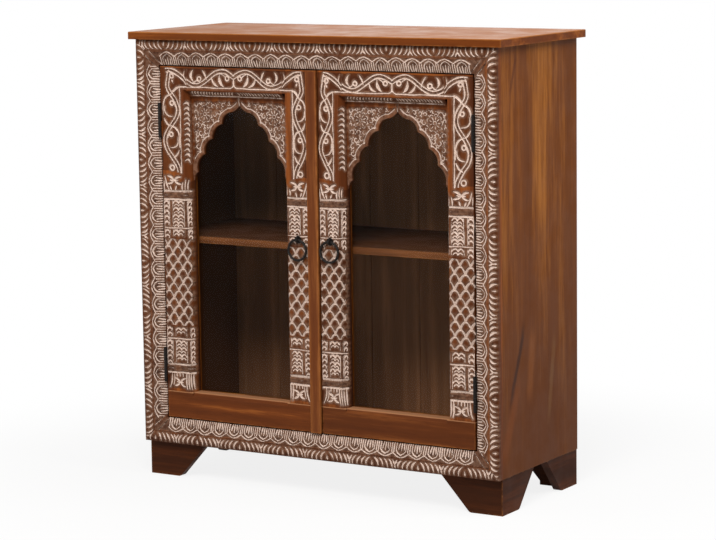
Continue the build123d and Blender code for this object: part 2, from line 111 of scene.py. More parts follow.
# %% [markdown]
# ## Materials as small programs
# A material is a graph of nodes. Writing each link by hand hides what the graph says, so this small
# class adds a node, joins its inputs and hands back its result in one call. A material function then
# reads like a sum.


# %% A short way to write node trees
class Paint:
    """A material, or a world, whose nodes are added by calls. Most hand back the socket of their result."""

    def __init__(self, name, kind="Material"):
        family = bpy.data.worlds if kind == "World" else bpy.data.materials
        self.owner = family.new(name)
        self.owner.use_nodes = True
        self.tree = self.owner.node_tree
        self.tree.nodes.clear()
        self.output = self.node("Output" + kind)

    def node(self, kind, inputs=None, **settings):
        """Adds a node. inputs gives each socket a value, or another node's result to read."""
        made = self.tree.nodes.new("ShaderNode" + kind)
        for name, value in settings.items():
            setattr(made, name, value)
        for socket, value in (inputs or {}).items():
            if isinstance(value, bpy.types.NodeSocket):
                self.tree.links.new(value, made.inputs[socket])
            else:
                made.inputs[socket].default_value = value
        return made

    def math(self, operation, a, b=0.0):
        """One sum of two numbers, such as a + b, at every point of the surface."""
        return self.node("Math", {0: a, 1: b}, operation=operation).outputs[0]

    def times(self, a, b):
        """a * b."""
        return self.math("MULTIPLY", a, b)

    def step(self, value, low, high, out_low=0.0, out_high=1.0):
        """A smooth step: out_low below low, out_high above high, and an S-curve between."""
        inputs = {"Value": value, "From Min": low, "From Max": high, "To Min": out_low, "To Max": out_high}
        return self.node("MapRange", inputs, interpolation_type="SMOOTHSTEP").outputs[0]

    def blend(self, share, a, b):
        """Colour a where share is 0, colour b where it is 1, and an even mixture between."""
        return self.node("Mix", {0: share, 6: a, 7: b}, data_type="RGBA").outputs[2]

    def noise(self, where, scale, detail=2.0, roughness=0.5):
        """Cloudy numbers round 0.5. scale is how many clouds there are to a metre."""
        inputs = {"Vector": where, "Scale": scale, "Detail": detail, "Roughness": roughness}
        return self.node("TexNoise", inputs).outputs["Fac"]

    def place(self):
        """The point on the piece, in metres in the frame."""
        return self.node("TexCoord").outputs["Object"]

    def axes(self):
        """The x, y and z of that point, one socket each."""
        return self.node("SeparateXYZ", {0: self.place()}).outputs

    def bump(self, height, strength, distance):
        """Tilts the normal as if the surface rose by height times distance."""
        inputs = {"Height": height, "Strength": strength, "Distance": distance}
        return self.node("Bump", inputs).outputs[0]

    def finish(self, shader):
        """Ends the tree in a shader, and hands back the material or world."""
        self.tree.links.new(shader.outputs[0], self.output.inputs[0])
        return self.owner

    def surface(self, inputs):
        """Ends the material in a Principled shader with these inputs."""
        return self.finish(self.node("BsdfPrincipled", inputs))

    def mixture(self, share, a, b):
        """Ends the tree in shader a where share is 0 and shader b where it is 1."""
        return self.finish(self.node("MixShader", {0: share, 1: a.outputs[0], 2: b.outputs[0]}))


# %% Colours
def colour(red, green, blue):
    """A colour written as it looks on a screen, from 0 to 255, as the linear values that shaders use."""
    screen = np.array([red, green, blue]) / 255
    linear = np.where(screen > 0.04045, ((screen + 0.055) / 1.055) ** 2.4, screen / 12.92)
    return (*linear.tolist(), 1.0)


def stain(light, middle, dark):
    """The three tones of one stain, as the colours that wood_colour reads."""
    return {"light": colour(*light), "middle": colour(*middle), "dark": colour(*dark)}


# %% [markdown]
# ## Stained hardwood
# Sawn boards show the tree's rings where the saw met them. The texture below is a set of rings round
# a pith line that lies outside the board, slowly bent by noise that is stretched along the grain. On
# top of it lie broad bands of lighter and darker stain, narrow lines of grain, a few dark streaks that
# follow them, and fine pores. Each board has its own seed, so no two show the same figure. Edges are
# rubbed a little lighter: on a box, the second smallest distance to its six sides is the distance to
# the nearest edge. A side can also have marks of its own, such as a filled split or a pale streak.

# %% Colours of the wood
SIDE_STAIN = stain((148, 91, 36), (116, 63, 19), (80, 40, 11))
STREAK = colour(46, 20, 8)
RUBBED_EDGE = colour(170, 108, 54)
INSIDE_FACE = colour(84, 52, 33)
WOOD_SHINE = 0.05
print("the side's middle tone is", [round(v, 3) for v in SIDE_STAIN["middle"][:3]], "in linear values")

# %% The figure of the wood
GRAIN_ORDER = {"X": (1, 2, 0), "Y": (2, 0, 1), "Z": (0, 1, 2)}
GRAIN_STRETCH = 0.07


def grain_place(paint, grain, seed):
    """The point with the grain along Z and squeezed, so that what is drawn there runs along the grain."""
    axes = paint.axes()
    joined = paint.node("CombineXYZ", {i: axes[k] for i, k in enumerate(GRAIN_ORDER[grain])})
    shift = np.random.default_rng(seed).uniform(-0.3, 0.3, 3)
    shift[:2] += (0.35, 0.22)
    inputs = {"Vector": joined.outputs[0], "Location": shift, "Scale": (1, 1, GRAIN_STRETCH)}
    return paint.node("Mapping", inputs).outputs[0]


def wood_colour(paint, grain, seed, light, middle, dark):
    """The board's colour and a value from 0 in its soft parts to 1 in its pores and streaks."""
    place = grain_place(paint, grain, seed)
    inputs = {"Vector": place, "Scale": 9.0, "Distortion": 11.0, "Detail": 2.5, "Detail Scale": 0.5}
    rings = paint.node("TexWave", inputs, wave_type="RINGS", rings_direction="Z").outputs["Fac"]
    bands = paint.noise(place, 9.0, 3.0, 0.55)
    lines = paint.noise(place, 75.0, 4.0, 0.7)
    streaks = paint.step(paint.noise(place, 26.0, 3.0, 0.6), 0.6, 0.78)
    pores = paint.step(paint.noise(place, 420.0, 2.0, 0.5), 0.6, 0.8)
    tone = paint.math("ADD", paint.times(rings, 0.25), paint.step(bands, 0.3, 0.72, 0.0, 0.45))
    tone = paint.math("ADD", tone, paint.step(lines, 0.32, 0.68, 0.0, 0.3))
    body = paint.blend(tone, dark, middle)
    body = paint.blend(paint.step(tone, 0.45, 1.0), body, light)
    body = paint.blend(paint.times(streaks, 0.6), body, STREAK)
    body = paint.blend(paint.times(pores, 0.35), body, STREAK)
    return body, paint.math("MAXIMUM", streaks, pores)


# %% Rubbed edges and marks
def edge_rub(paint, node, reach=0.0035):
    """1 on the edges of a box-shaped board, falling to 0 at reach metres from them, broken by noise."""
    gaps = []
    for place, low, high in zip(paint.axes(), *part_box(node)):
        from_low = paint.math("ABSOLUTE", paint.math("SUBTRACT", place, low))
        from_high = paint.math("ABSOLUTE", paint.math("SUBTRACT", high, place))
        gaps.append(paint.math("MINIMUM", from_low, from_high))
    a, b, c = gaps
    second = paint.math("MAXIMUM", paint.math("MINIMUM", a, b),
                        paint.math("MINIMUM", paint.math("MAXIMUM", a, b), c))
    worn = paint.noise(paint.place(), 60.0, 3.0, 0.6)
    return paint.times(paint.step(second, 0.0, reach, 1.0, 0.0), paint.step(worn, 0.35, 0.7))


def wood_mark(paint, body, start, end, half, tint, share):
    """A mark along the grain of a side, from start to end as (y, z) in metres. It is strongest on an
    S-curve between them, and fades at half metres to each side of it and towards both ends."""
    _, across, up = paint.axes()
    wander = paint.times(paint.noise(paint.place(), 35.0, 3.0, 0.6), 0.008)
    line = paint.step(up, start[1], end[1], start[0] - 0.004, end[0] - 0.004)
    away = paint.math("ABSOLUTE", paint.math("SUBTRACT", across, paint.math("ADD", line, wander)))
    middle, reach = (start[1] + end[1]) / 2, (end[1] - start[1]) / 2
    off_middle = paint.math("ABSOLUTE", paint.math("SUBTRACT", up, middle))
    strength = paint.times(paint.step(away, half * 0.2, half, share, 0.0),
                          paint.step(off_middle, reach * 0.45, reach, 1.0, 0.0))
    return paint.blend(strength, body, tint)


# %% An uncarved board
def plain_wood(name, node, grain, seed, stains=SIDE_STAIN, gloss=0.42, inside_x=None, upper=None,
               shine=WOOD_SHINE, marks=()):
    """An uncarved board. gloss is its roughness. inside_x is for a side: it makes the face that looks
    into the cabinet dark, and paints shade on the board that grows from its head down to its foot.
    upper is a colour and a share painted on what faces up: painted light where it is
    lighter than the stain, and painted shade where it is darker."""
    paint = Paint(name)
    body, pores = wood_colour(paint, grain, seed, **stains)
    body = paint.blend(paint.times(edge_rub(paint, node), 0.35), body, RUBBED_EDGE)
    x, _, z = paint.axes()
    if inside_x:
        inward = paint.math("LESS_THAN", paint.math("ABSOLUTE", x), inside_x)
        # Painted shade: the side grows darker from its head down to its foot.
        body = paint.blend(paint.step(z, 0.1, 0.7, 0.8, 0.0), body, SIDE_STAIN["dark"])
        for mark in marks:
            body = wood_mark(paint, body, *mark)
        body = paint.blend(inward, body, INSIDE_FACE)
    # Painted light and shade on the top face and the top of the front edge.
    if upper:
        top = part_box(node)[1][2]
        body = paint.blend(paint.step(z, top - 0.0026, top - 0.0012, 0.0, upper[1]), body, upper[0])
    sheen = paint.noise(paint.place(), 14.0, 3.0, 0.6)
    rough = paint.math("ADD", paint.step(sheen, 0.3, 0.7, gloss - 0.06, gloss + 0.1),
                       paint.times(pores, 0.15))
    normal = paint.bump(paint.times(pores, -1.0), 0.35, 0.0004)
    return paint.surface({"Base Color": body, "Roughness": rough, "Normal": normal,
                          "Specular IOR Level": shine})


# %% [markdown]
# ## Carved wood with lime in its cuts
# Every carved mesh carries two numbers at each point. `gap` is the distance in millimetres to the edge
# of the nearest cut, below zero inside it, and `shade` is 1 where the sunk ground is painted with shade.
# Because `gap` changes evenly from point to point, the edge of the lime, where it passes zero, is a
# clean line even though the mesh is coarser than the line. Noise moves that edge, so that the paint
# looks rubbed away. Beside the cuts the wood is painted darker as the shade of the relief, and what was
# wiped off left a dust in its pores. Both are gone where the wood is plain.

# %% Colours of the carving
LIME = colour(217, 195, 181)
LIME_SHADE = colour(174, 144, 126)
DUST = colour(149, 114, 92)
CARVED_STAIN = stain((136, 74, 31), (106, 54, 22), (72, 35, 16))
# The colour of the painted shade on the sunk ground, beside the cuts and on the walls behind the carving.
CARVED_SHADE = colour(36, 18, 12)
print("lime is", round(LIME[1] / CARVED_SHADE[1]), "times as bright as the sunk ground")

# %% Lime-washed carving
DUST_REACH = 5.6


def carved_wood(name, grain, seed, wash=0.0, full=0.88, dust=0.6):
    """Carved hardwood. wash, in millimetres, widens the lime where a piece kept more of it, full is how
    much of the wood it hides, and dust how much of it stays on the ground beside the cuts."""
    paint = Paint(name)
    gap = paint.node("Attribute", attribute_name="gap").outputs["Fac"]
    shade = paint.node("Attribute", attribute_name="shade").outputs["Fac"]
    body, pores = wood_colour(paint, grain, seed, **CARVED_STAIN)
    # Painted shade on the sunk ground, as much as the shade attribute says.
    body = paint.blend(paint.times(shade, 0.85), body, CARVED_SHADE)
    place = paint.place()
    rubbed = paint.noise(place, 42.0, 4.0, 0.65)
    ragged = paint.noise(place, 620.0, 2.0, 0.5)
    patchy = paint.noise(place, 150.0, 3.0, 0.6)
    edge = paint.math("ADD", paint.step(rubbed, 0.22, 0.72, wash - 0.6, wash + 0.3),
                      paint.times(paint.math("SUBTRACT", ragged, 0.5), 0.8))
    depth = paint.math("SUBTRACT", edge, gap)
    # Painted shade that grows towards the cuts, as the shade of the relief.
    cut_shade = paint.step(depth, -DUST_REACH, -0.8, 0.0, 0.5)
    body = paint.blend(cut_shade, body, CARVED_SHADE)
    beside = paint.times(paint.step(depth, -DUST_REACH, 0.0, 0.0, dust),
                        paint.step(patchy, 0.32, 0.66, 0.2, 1.0))
    body = paint.blend(beside, body, DUST)
    # A painted shadow in a thin rim just beside each cut.
    rim_shadow = paint.times(paint.step(depth, -1.3, -0.1), 0.6)
    body = paint.blend(rim_shadow, body, CARVED_SHADE)
    lime = paint.times(paint.step(depth, -0.15, 0.4), full)
    chalk = paint.blend(paint.step(ragged, 0.3, 0.62), LIME_SHADE, LIME)
    body = paint.blend(lime, body, chalk)
    cover = paint.math("MAXIMUM", lime, beside)
    rough = paint.step(cover, 0.0, 1.0, 0.44, 0.85)
    height = paint.math("SUBTRACT", paint.times(ragged, 0.6), pores)
    normal = paint.bump(height, 0.3, 0.0003)
    return paint.surface({"Base Color": body, "Roughness": rough, "Normal": normal,
                          "Specular IOR Level": WOOD_SHINE})


# %% [markdown]
# ## Meshes from whole arrays
# A carved board is a stack of cross-sections. `points[i, j]` is point j of section i, and going round
# j comes back to the start, so the board is a closed tube with a cap at each end. The mesh is filled
# by `foreach_set` from arrays, which takes a moment where a loop over points would take minutes.


# %% From sections to a closed mesh
def tube_faces(sections, around, ring=False):
    """Four corners of each face between section i and i + 1, columns j and j + 1, with j wrapped."""
    index = np.arange(sections * around).reshape(sections, around)
    if ring:
        index = np.vstack([index, index[:1]])
    beside = np.roll(index, -1, axis=1)
    return np.stack([index[:-1], beside[:-1], beside[1:], index[1:]], axis=-1).reshape(-1, 4)


def solid_volume(points, quads):
    """Six times the volume inside the quads: the sum of the triple products of their triangles."""
    a, b, c, d = (points[quads[:, k]] for k in range(4))
    return (np.cross(a, b) * c).sum() + (np.cross(a, c) * d).sum()


# %% A piece from its sections
def make_piece(name, points, values, material, body, node, ring=False):
    """A mesh object from sections of points in mm, with an attribute for each array in values. It
    stands for a node of the frame."""
    sections, around = points.shape[:2]
    flat = points.reshape(-1, 3) / 1000
    quads = tube_faces(sections, around, ring)
    if solid_volume(flat - flat.mean(0), quads) < 0:
        quads = quads[:, ::-1]
        first, last = np.arange(around), np.arange(around)[::-1]
    else:
        first, last = np.arange(around)[::-1], np.arange(around)
    corners = quads.ravel()
    starts = np.arange(len(quads)) * 4
    if not ring:
        caps = np.concatenate([first, last + (sections - 1) * around])
        starts = np.concatenate([starts, len(corners) + np.array([0, around])])
        corners = np.concatenate([corners, caps])
    mesh = bpy.data.meshes.new(name)
    mesh.vertices.add(len(flat))
    mesh.vertices.foreach_set("co", flat.astype(np.float32).ravel())
    mesh.loops.add(len(corners))
    mesh.loops.foreach_set("vertex_index", corners.astype(np.int32))
    mesh.polygons.add(len(starts))
    mesh.polygons.foreach_set("loop_start", starts.astype(np.int32))
    mesh.update(calc_edges=True)
    mesh.validate()
    for label, array in values.items():
        field = mesh.attributes.new(label, "FLOAT", "POINT")
        field.data.foreach_set("value", array.astype(np.float32).ravel())
    mesh.shade_smooth()
    mesh.set_sharp_from_angle(angle=math.radians(52))
    mesh.materials.append(material)
    made = add_object(name, mesh)
    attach(made, body)
    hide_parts(node)


# %% [markdown]
# ## Chisel strokes
# A `Board` is the flat drawing of a carved surface: every mesh point has a place `u`, `v` on it in
# millimetres. A stroke is a path with a width that swells and dies away, as a gouge makes it, and
# cutting it lowers `gap` wherever the stroke is nearer than the ones before. The board's own
# coordinates wander by half a millimetre, which makes each repeat of a motif a little different.

# %% The board
FAR = 6.5
SHOULDER_DEPTH, SHOULDER_REACH = 0.9, 0.9
CUT_DEPTH, CUT_SLOPE = 1.3, 1.3


class Board:
    """A carver's board. gap is the distance to the nearest cut's edge, sink the depth of the sunk ground
    and shade the painted shade on it.
    """

    def __init__(self, u, v, seed):
        self.hand = np.random.default_rng(seed)
        turn = self.hand.uniform(0, 6.28, 4)
        u, v = np.broadcast_arrays(u, v)
        self.shape = u.shape
        drift_u = 0.4 * np.sin(u / 11 + v / 17 + turn[0]) + 0.25 * np.sin(v / 6 - u / 9 + turn[1])
        drift_v = 0.4 * np.sin(v / 12 - u / 15 + turn[2]) + 0.25 * np.sin(u / 7 + v / 8 + turn[3])
        self.u, self.v = (u + drift_u).ravel(), (v + drift_v).ravel()
        self.gap = np.full(self.u.size, FAR)
        self.shade = np.zeros(self.u.size)
        self.sink = np.zeros(self.u.size)

    def cut(self, path, wide, tip=0.35, bias=1.0):
        """A stroke along path. Its half width is tip at the ends and wide where it swells, which is half
        way along, or nearer the start for a bias under 1: tip + (wide - tip) sin(pi share^bias)."""
        path = np.asarray(path, float)
        wide = wide * self.hand.uniform(0.88, 1.14)
        low = path.min(0) - FAR - wide
        high = path.max(0) + FAR + wide
        near = (self.u > low[0]) & (self.u < high[0]) & (self.v > low[1]) & (self.v < high[1])
        near = np.flatnonzero(near)
        if near.size == 0:
            return
        run = np.diff(path, axis=0)
        spot = np.stack([self.u[near], self.v[near]], axis=1)[:, None] - path[:-1]
        share = np.clip((spot * run).sum(2) / (run**2).sum(1), 0, 1)
        away = np.linalg.norm(spot - share[..., None] * run, axis=2)
        place = (np.arange(len(run)) + share) / len(run)
        half = tip + (wide - tip) * np.sin(np.pi * place**bias)
        self.gap[near] = np.minimum(self.gap[near], (away - half).min(1))

    def line(self, path, half):
        """A stroke of one width."""
        self.cut(path, half, tip=half)

    def ground(self, inside, depth, shade=1.0):
        """Sinks the ground by depth mm and paints shade on it, by a share from 0 to 1 at each point."""
        self.sink = np.maximum(self.sink, inside * depth)
        self.shade = np.maximum(self.shade, inside * shade)

    def leave_plain(self, where):
        """Takes the cuts and the ground away again where the mask is true."""
        self.gap[where] = FAR
        self.sink[where] = 0
        self.shade[where] = 0

    def keep_clear(self, where, gap):
        """Takes the cuts away where the mask is true, but leaves the dust that lies beside them."""
        self.gap[where] = np.maximum(self.gap[where], gap)

    def make_dusty(self, where, gap):
        """Gives the wood the dust that it has gap mm from a cut, where the mask is true."""
        self.gap[where] = np.minimum(self.gap[where], gap)

    def depth(self):
        """How far the wood is cut away: it rounds off towards a cut and drops in a V inside it."""
        shoulder = SHOULDER_DEPTH * np.exp(-np.maximum(self.gap, 0) / SHOULDER_REACH)
        cut = CUT_DEPTH * np.clip(-self.gap / CUT_SLOPE, 0, 1)
        return (shoulder + cut + self.sink).reshape(self.shape)


# %% From a board to a carved piece
def carved_piece(name, points, board, back_shade, looks, body):
    """A mesh whose first columns carry the board's gap and shade. The columns behind them carry no cut,
    and back_shade is the painted shade on them. looks is what carved_wood is told after the name."""
    behind = ((0, 0), (0, points.shape[1] - board.shape[1]))
    gap = np.pad(board.gap.reshape(board.shape), behind, constant_values=FAR)
    shade = np.pad(board.shade.reshape(board.shape), behind, constant_values=back_shade)
    material = carved_wood("lime_" + name, *looks)
    make_piece("carved_" + name, points, {"gap": gap, "shade": shade}, material, body, name)


# %% Paths for strokes
def bow(start, end, rise, count=9):
    """From start to end, bulging by rise to the left of the way it runs: a chord plus a parabola."""
    share = np.linspace(0, 1, count)[:, None]
    chord = np.subtract(end, start)
    across = np.array([-chord[1], chord[0]]) / np.hypot(*chord)
    return start + chord * share + across * rise * 4 * share * (1 - share)


def arc(centre, radius, start, end, count=13):
    """Part of a circle between two angles in degrees, anticlockwise from +u."""
    angle = np.radians(np.linspace(start, end, count))
    return np.column_stack([centre[0] + radius * np.cos(angle), centre[1] + radius * np.sin(angle)])


def curl(centre, radius, start, hand, count=15):
    """A spiral: its radius falls evenly to a third while it turns through 320 degrees."""
    share = np.linspace(0, 1, count)
    angle = np.radians(start + hand * 320 * share)
    reach = radius * (1 - 0.66 * share)
    return np.column_stack([centre[0] + reach * np.cos(angle), centre[1] + reach * np.sin(angle)])


def smooth(points, per=6):
    """A Catmull-Rom curve through the points: each span leaves them along the line of its neighbours."""
    points = np.asarray(points, float)
    padded = np.vstack([2 * points[0] - points[1], points, 2 * points[-1] - points[-2]])
    share = np.linspace(0, 1, per, endpoint=False)[:, None]
    spans = []
    for a, b, c, d in zip(padded[:-3], padded[1:-2], padded[2:-1], padded[3:]):
        spans.append(0.5 * (2 * b + (c - a) * share + (2 * a - 5 * b + 4 * c - d) * share**2
                            + (3 * b - a - 3 * c + d) * share**3))
    return np.vstack([*spans, points[-1:]])


# %% Measures on a board
def beside(path, distance):
    """The path moved sideways, to its left, by distance."""
    way = np.gradient(path, axis=0)
    way /= np.linalg.norm(way, axis=1)[:, None]
    return path + distance * np.column_stack([-way[:, 1], way[:, 0]])


def distance_to(board, path):
    """The distance from each point of the board to the nearest point of a path."""
    spot = np.stack([board.u, board.v], axis=1)
    nearest = np.full(len(spot), np.inf)
    for point in path:
        nearest = np.minimum(nearest, np.hypot(*(spot - point).T))
    return nearest


def s_step(value, low, high):
    """The same smooth step as in the materials, for arrays."""
    share = np.clip((value - low) / (high - low), 0, 1)
    return share * share * (3 - 2 * share)


# %% [markdown]
# ## The face frame
# Four moulded members meet in mitres. The outer band is a half round cut with nested arcs, which lean
# one way and then the other between Y-shaped and peaked strokes. The inner band is a row of lotus
# petals that open towards the doors. Both are drawn on a board that measures `u` along the member and
# `v` inwards from its outer edge, and then carried along the member's moulded profile.

# %% The frame's profile
OUTER_BAND, CHANNEL, FRAME_WIDTH = 22.0, 3.0, 54.0
BAND_START = OUTER_BAND + CHANNEL
FRAME_THICKNESS, FRAME_BACK, BOARD_THICKNESS = 20.0, 32.0, 20.0
OUTER_DROP, CHANNEL_DEPTH, BAND_STEP, DOOR_SETBACK, BAND_CROWN = 2.5, 3.5, 2.0, 10.0, 1.6


def frame_profile(v):
    """Depth behind the frame's front: a half round, a square channel, then a crowned slope."""
    outer = OUTER_DROP * ((v - OUTER_BAND / 2) / (OUTER_BAND / 2)) ** 2
    share = np.clip((v - BAND_START) / (FRAME_WIDTH - BAND_START), 0, 1)
    inner = BAND_STEP + (DOOR_SETBACK - BAND_STEP) * share - BAND_CROWN * 4 * share * (1 - share)
    return np.where(v <= OUTER_BAND, outer, np.where(v < BAND_START, CHANNEL_DEPTH, inner))


# %% Outer band: nested arcs
NODE_PITCH = 109.5
ARCS_A_SIDE, ARC_PITCH, ARC_LEAN = 4, 11.2, 9.0
FIRST_ARC, ARC_FOOT, ARC_TIP, ARC_RISE = 7, 2.0, 20.2, 3.6


def carve_outer_band(board, first, length, wide):
    """Round each peak, arcs lean in from both sides; half way to the next one they part in a Y. wide is
    half the width of an arc at its widest."""
    for peak in np.arange(first, length + NODE_PITCH, NODE_PITCH):
        board.cut([(peak, 4), (peak, 14)], 2.0, bias=0.6)
        fork = peak + NODE_PITCH / 2
        board.cut([(fork, 12), (fork, 2.5)], 1.7, tip=0.8)
        for side in (-1, 1):
            board.cut([(fork, 11), (fork + side * 5.2, 19.5)], 1.9, tip=0.9, bias=0.8)
            for k in range(ARCS_A_SIDE):
                foot = NODE_PITCH / 2 - FIRST_ARC - k * ARC_PITCH
                start = (peak + side * foot, ARC_FOOT)
                end = (peak + side * (foot - ARC_LEAN), ARC_TIP)
                board.cut(bow(start, end, -side * ARC_RISE), wide, tip=0.5, bias=1.15)


# %% Inner band: lotus petals
PETAL_COUNT = 20
PETAL_EDGE = ((11.2, 55.0), (11.2, 39.5), (7.2, 34.2), (0.0, 30.4))
ROOF = ((0.0, 25.6), (0.5, 28.6), (1.0, 34.5))
FAN_STROKES = ((0.0, 0.0, 38.0), (4.6, 6.6, 40.5))
UPRIGHT, UPRIGHT_TOP = 16.3, 36.5


def carve_lotus_band(board, length, pitch):
    """Each petal opens under a roof that it shares with the next. Strokes fan out inside the petal from
    its foot, and upright cuts stand between the petals."""
    foot = FRAME_WIDTH + 1
    for k in range(PETAL_COUNT):
        centre = length / 2 + (k - (PETAL_COUNT - 1) / 2) * pitch
        petal = np.array(PETAL_EDGE)
        board.line(np.vstack([petal, petal[-2::-1] * (-1, 1)]) + (centre, 0), 1.15)
        for side in (-1, 1):
            board.line([(centre + side * share * pitch / 2, v) for share, v in ROOF], 1.3)
            board.line([(centre + side * UPRIGHT, foot), (centre + side * UPRIGHT, UPRIGHT_TOP)], 1.3)
            for low, high, reach in FAN_STROKES:
                stroke = [(centre + side * low, foot), (centre + side * high, reach)]
                board.cut(stroke, 1.75, tip=1.0, bias=0.7)
        edge_u, edge_v = np.array(PETAL_EDGE[::-1]).T
        half = np.interp(board.v, edge_v, edge_u)
        inside = s_step(half - np.abs(board.u - centre), 0.5, 1.8) * (board.v > edge_v[0])
        # The sunk petals and the ground between the cuts are painted with shade.
        board.ground(inside, 1.6)
    band = board.v > BAND_START + 1
    board.ground(s_step(board.gap, 0.1, 0.9) * band, 1.0, 0.7)
    board.make_dusty(band, 2.6)


# %% Carve a member
MITRE_PLAIN, MITRE_LINE = 6.5, 0.6


def carve_frame(board, length, pitch, first, arc_half):
    """The whole member: both bands, with the wood along the mitres left plain behind one line."""
    carve_outer_band(board, first, length, arc_half)
    carve_lotus_band(board, length, pitch)
    shift = MITRE_PLAIN * math.sqrt(2)
    from_end = np.minimum(board.u, length - board.u)
    mitre = (board.v > OUTER_BAND) & (from_end - board.v < shift)
    board.leave_plain(mitre)
    # Painted shade on the plain strip at the mitres and on the ground round the arcs.
    board.ground(mitre, 0.0, 0.6)
    board.ground(s_step(board.gap, 0.2, 1.4) * (board.v < OUTER_BAND - 1), 0.7, 0.7)
    board.make_dusty((board.v > OUTER_BAND) & (board.gap > 3), 3.0)
    board.keep_clear((board.v > OUTER_BAND - 1) & (board.v < BAND_START), 1.2)
    line = np.array([(BAND_START + shift, BAND_START), (FRAME_WIDTH + shift, FRAME_WIDTH)])
    board.line(line, MITRE_LINE)
    board.line((length, 0) + line * (-1, 1), MITRE_LINE)


# %% Build the four members
FRAME_ROWS = 960


def band_columns():
    """Places across the member: close together on the bands, and paired where the profile steps."""
    nearly = 0.04
    outer = np.linspace(0, OUTER_BAND, 26)
    channel = np.linspace(OUTER_BAND + nearly, BAND_START - nearly, 3)
    inner = np.linspace(BAND_START, FRAME_WIDTH, 34)
    return np.concatenate([outer, channel, inner])


def frame_member(name, corner, inwards, run, length, pitch, first, seed, arc_half=2.1):
    """Carries the carved profile from one mitre to the other. All lengths are in mm."""
    across = band_columns()
    back = np.array([(FRAME_WIDTH, FRAME_BACK), (BOARD_THICKNESS, FRAME_BACK),
                     (BOARD_THICKNESS, FRAME_THICKNESS), (0, FRAME_THICKNESS)])
    v = np.concatenate([across, back[:, 0]])
    share = np.linspace(0, 1, FRAME_ROWS)[:, None]
    along = v + (length - 2 * v) * share
    board = Board(along[:, :len(across)], across, seed)
    carve_frame(board, length, pitch, first, arc_half)
    depth = np.empty(along.shape)
    depth[:, :len(across)] = frame_profile(across) + board.depth()
    depth[:, len(across):] = back[:, 1]
    points = np.array(corner) + along[..., None] * run + v[:, None] * np.array(inwards)
    points = points + depth[..., None] * (0, 1, 0)
    carved_piece(name, points, board, 0.0, ("Z" if run[2] else "X", seed), "cabinet")


left_x, front_y, low_z = box_mm("frame_left")[0]
right_x, _, high_z = box_mm("frame_right")[1]
UPRIGHT_PITCH, LEVEL_PITCH = 38.1, 37.5
X, Z = np.array([1.0, 0, 0]), np.array([0, 0, 1.0])
frame_member("frame_left", (left_x, front_y, low_z), X, Z, high_z - low_z, UPRIGHT_PITCH, -44.0, 11)
frame_member("frame_right", (right_x, front_y, low_z), -X, Z, high_z - low_z, UPRIGHT_PITCH, -52.0, 12, 2.4)
frame_member("frame_bottom", (left_x, front_y, low_z), Z, X, right_x - left_x, LEVEL_PITCH, -82.0, 13)
frame_member("frame_top", (left_x, front_y, high_z), -Z, X, right_x - left_x, LEVEL_PITCH, -36.0, 14, 1.5)
print("frame members carved, each of", FRAME_ROWS, "sections")

# %% [markdown]
# ## The scroll on the doors
# Across the top of each door and down its corners runs a stem that waves from edge to edge of its
# band. In each half wave sits a ring-shaped eye with a curled tail and a few comma-shaped leaves. The
# wave is a cosine. It is drawn once, in millimetres out from the middle of the arch and up from the
# floor, and each board is told how to place those points on itself, mirrored where it has to be.

# %% Sizes of the scroll
SCROLL_Z, LEVEL_SWING, LEVEL_WAVE, FIRST_CREST = 866.5, 15.5, 67.0, 29.0
SCROLL_BOTTOM, SCROLL_TOP = 846.5, 885.5
UPRIGHT_WAVE, UPRIGHT_FIRST, UPRIGHT_END = 67.0, 865.0, 664.0
HALF_OPENING = 120.0
print("the scroll fills a band", SCROLL_TOP - SCROLL_BOTTOM, "mm high over each door")

# %% Stem and eyes
STEM_HALF, STEM_LINE, STEM_GROOVE = 3.8, 1.35, 2.7


def carve_stem(board, path):
    """Two lines of lime with a sunk groove between them that is painted with shade."""
    for side in (-1, 1):
        board.line(beside(path, side * STEM_HALF), STEM_LINE)
    # The groove is sunk and painted with shade.
    board.ground(s_step(STEM_GROOVE - distance_to(board, path[::2]), 0, 1.0), 1.3)


def carve_ring(board, centre, radius=4.5, half=1.85):
    """The eye of a curl: a ring of lime."""
    board.line(arc(centre, radius, 0, 360, 17), half)


def frame_of(place, centre, along, bulge):
    """A function that puts points of a lobe's own frame on the board: its first axis runs along the
    stem, and its second to the side that the stem bulges to."""
    return lambda points: place(np.array(centre) + np.asarray(points, float) @ np.array([along, bulge]))


# %% What fills a wave
CREST_LEAVES = (((19, 9), (9, -16.5), 4.5, 3.2), ((39, 4), (22, -16.5), 4.5, 2.4))
TROUGH_LEAVES = (((13, 8), (15, -16.5), 6.5, 2.6), ((30, 5), (33, -15), 7.0, 2.2),
                 ((-20, 6), (-9, -17), -2.0, 2.0))
CORNER_STROKES = ((((-18, 5), (-13, 8.5), (-6, 10)), 1.4, 0.5, 1.0),
                  (((-33, 1), (-28, -10), (-20, -16.5), (-7, -19.5), (12, -19.5)), 1.9, 0.7, 0.7),
                  (((-8, -16), (4, -15.5), (12, -8), (15, 5)), 1.7, 0.5, 1.0),
                  (((19, -18), (30, -11), (36, -2)), 2.2, 0.7, 1.0))


def carve_level_lobe(board, put, eye, leaves):
    """Along the top: an eye hooked to the stem, and leaves that bow away from the arch. Each leaf is two
    ends, measured from the eye, how far it bows and how wide it swells."""
    carve_ring(board, put([(eye, 1.5)])[0])
    board.cut(put(smooth([(eye + 4.5, 2.5), (eye + 9, 7), (eye + 16, 9.5)])), 1.4, tip=0.6)
    for start, end, rise, wide in leaves:
        board.cut(put(bow(np.add(start, (eye, 0)), np.add(end, (eye, 0)), rise)), wide, bias=1.2)


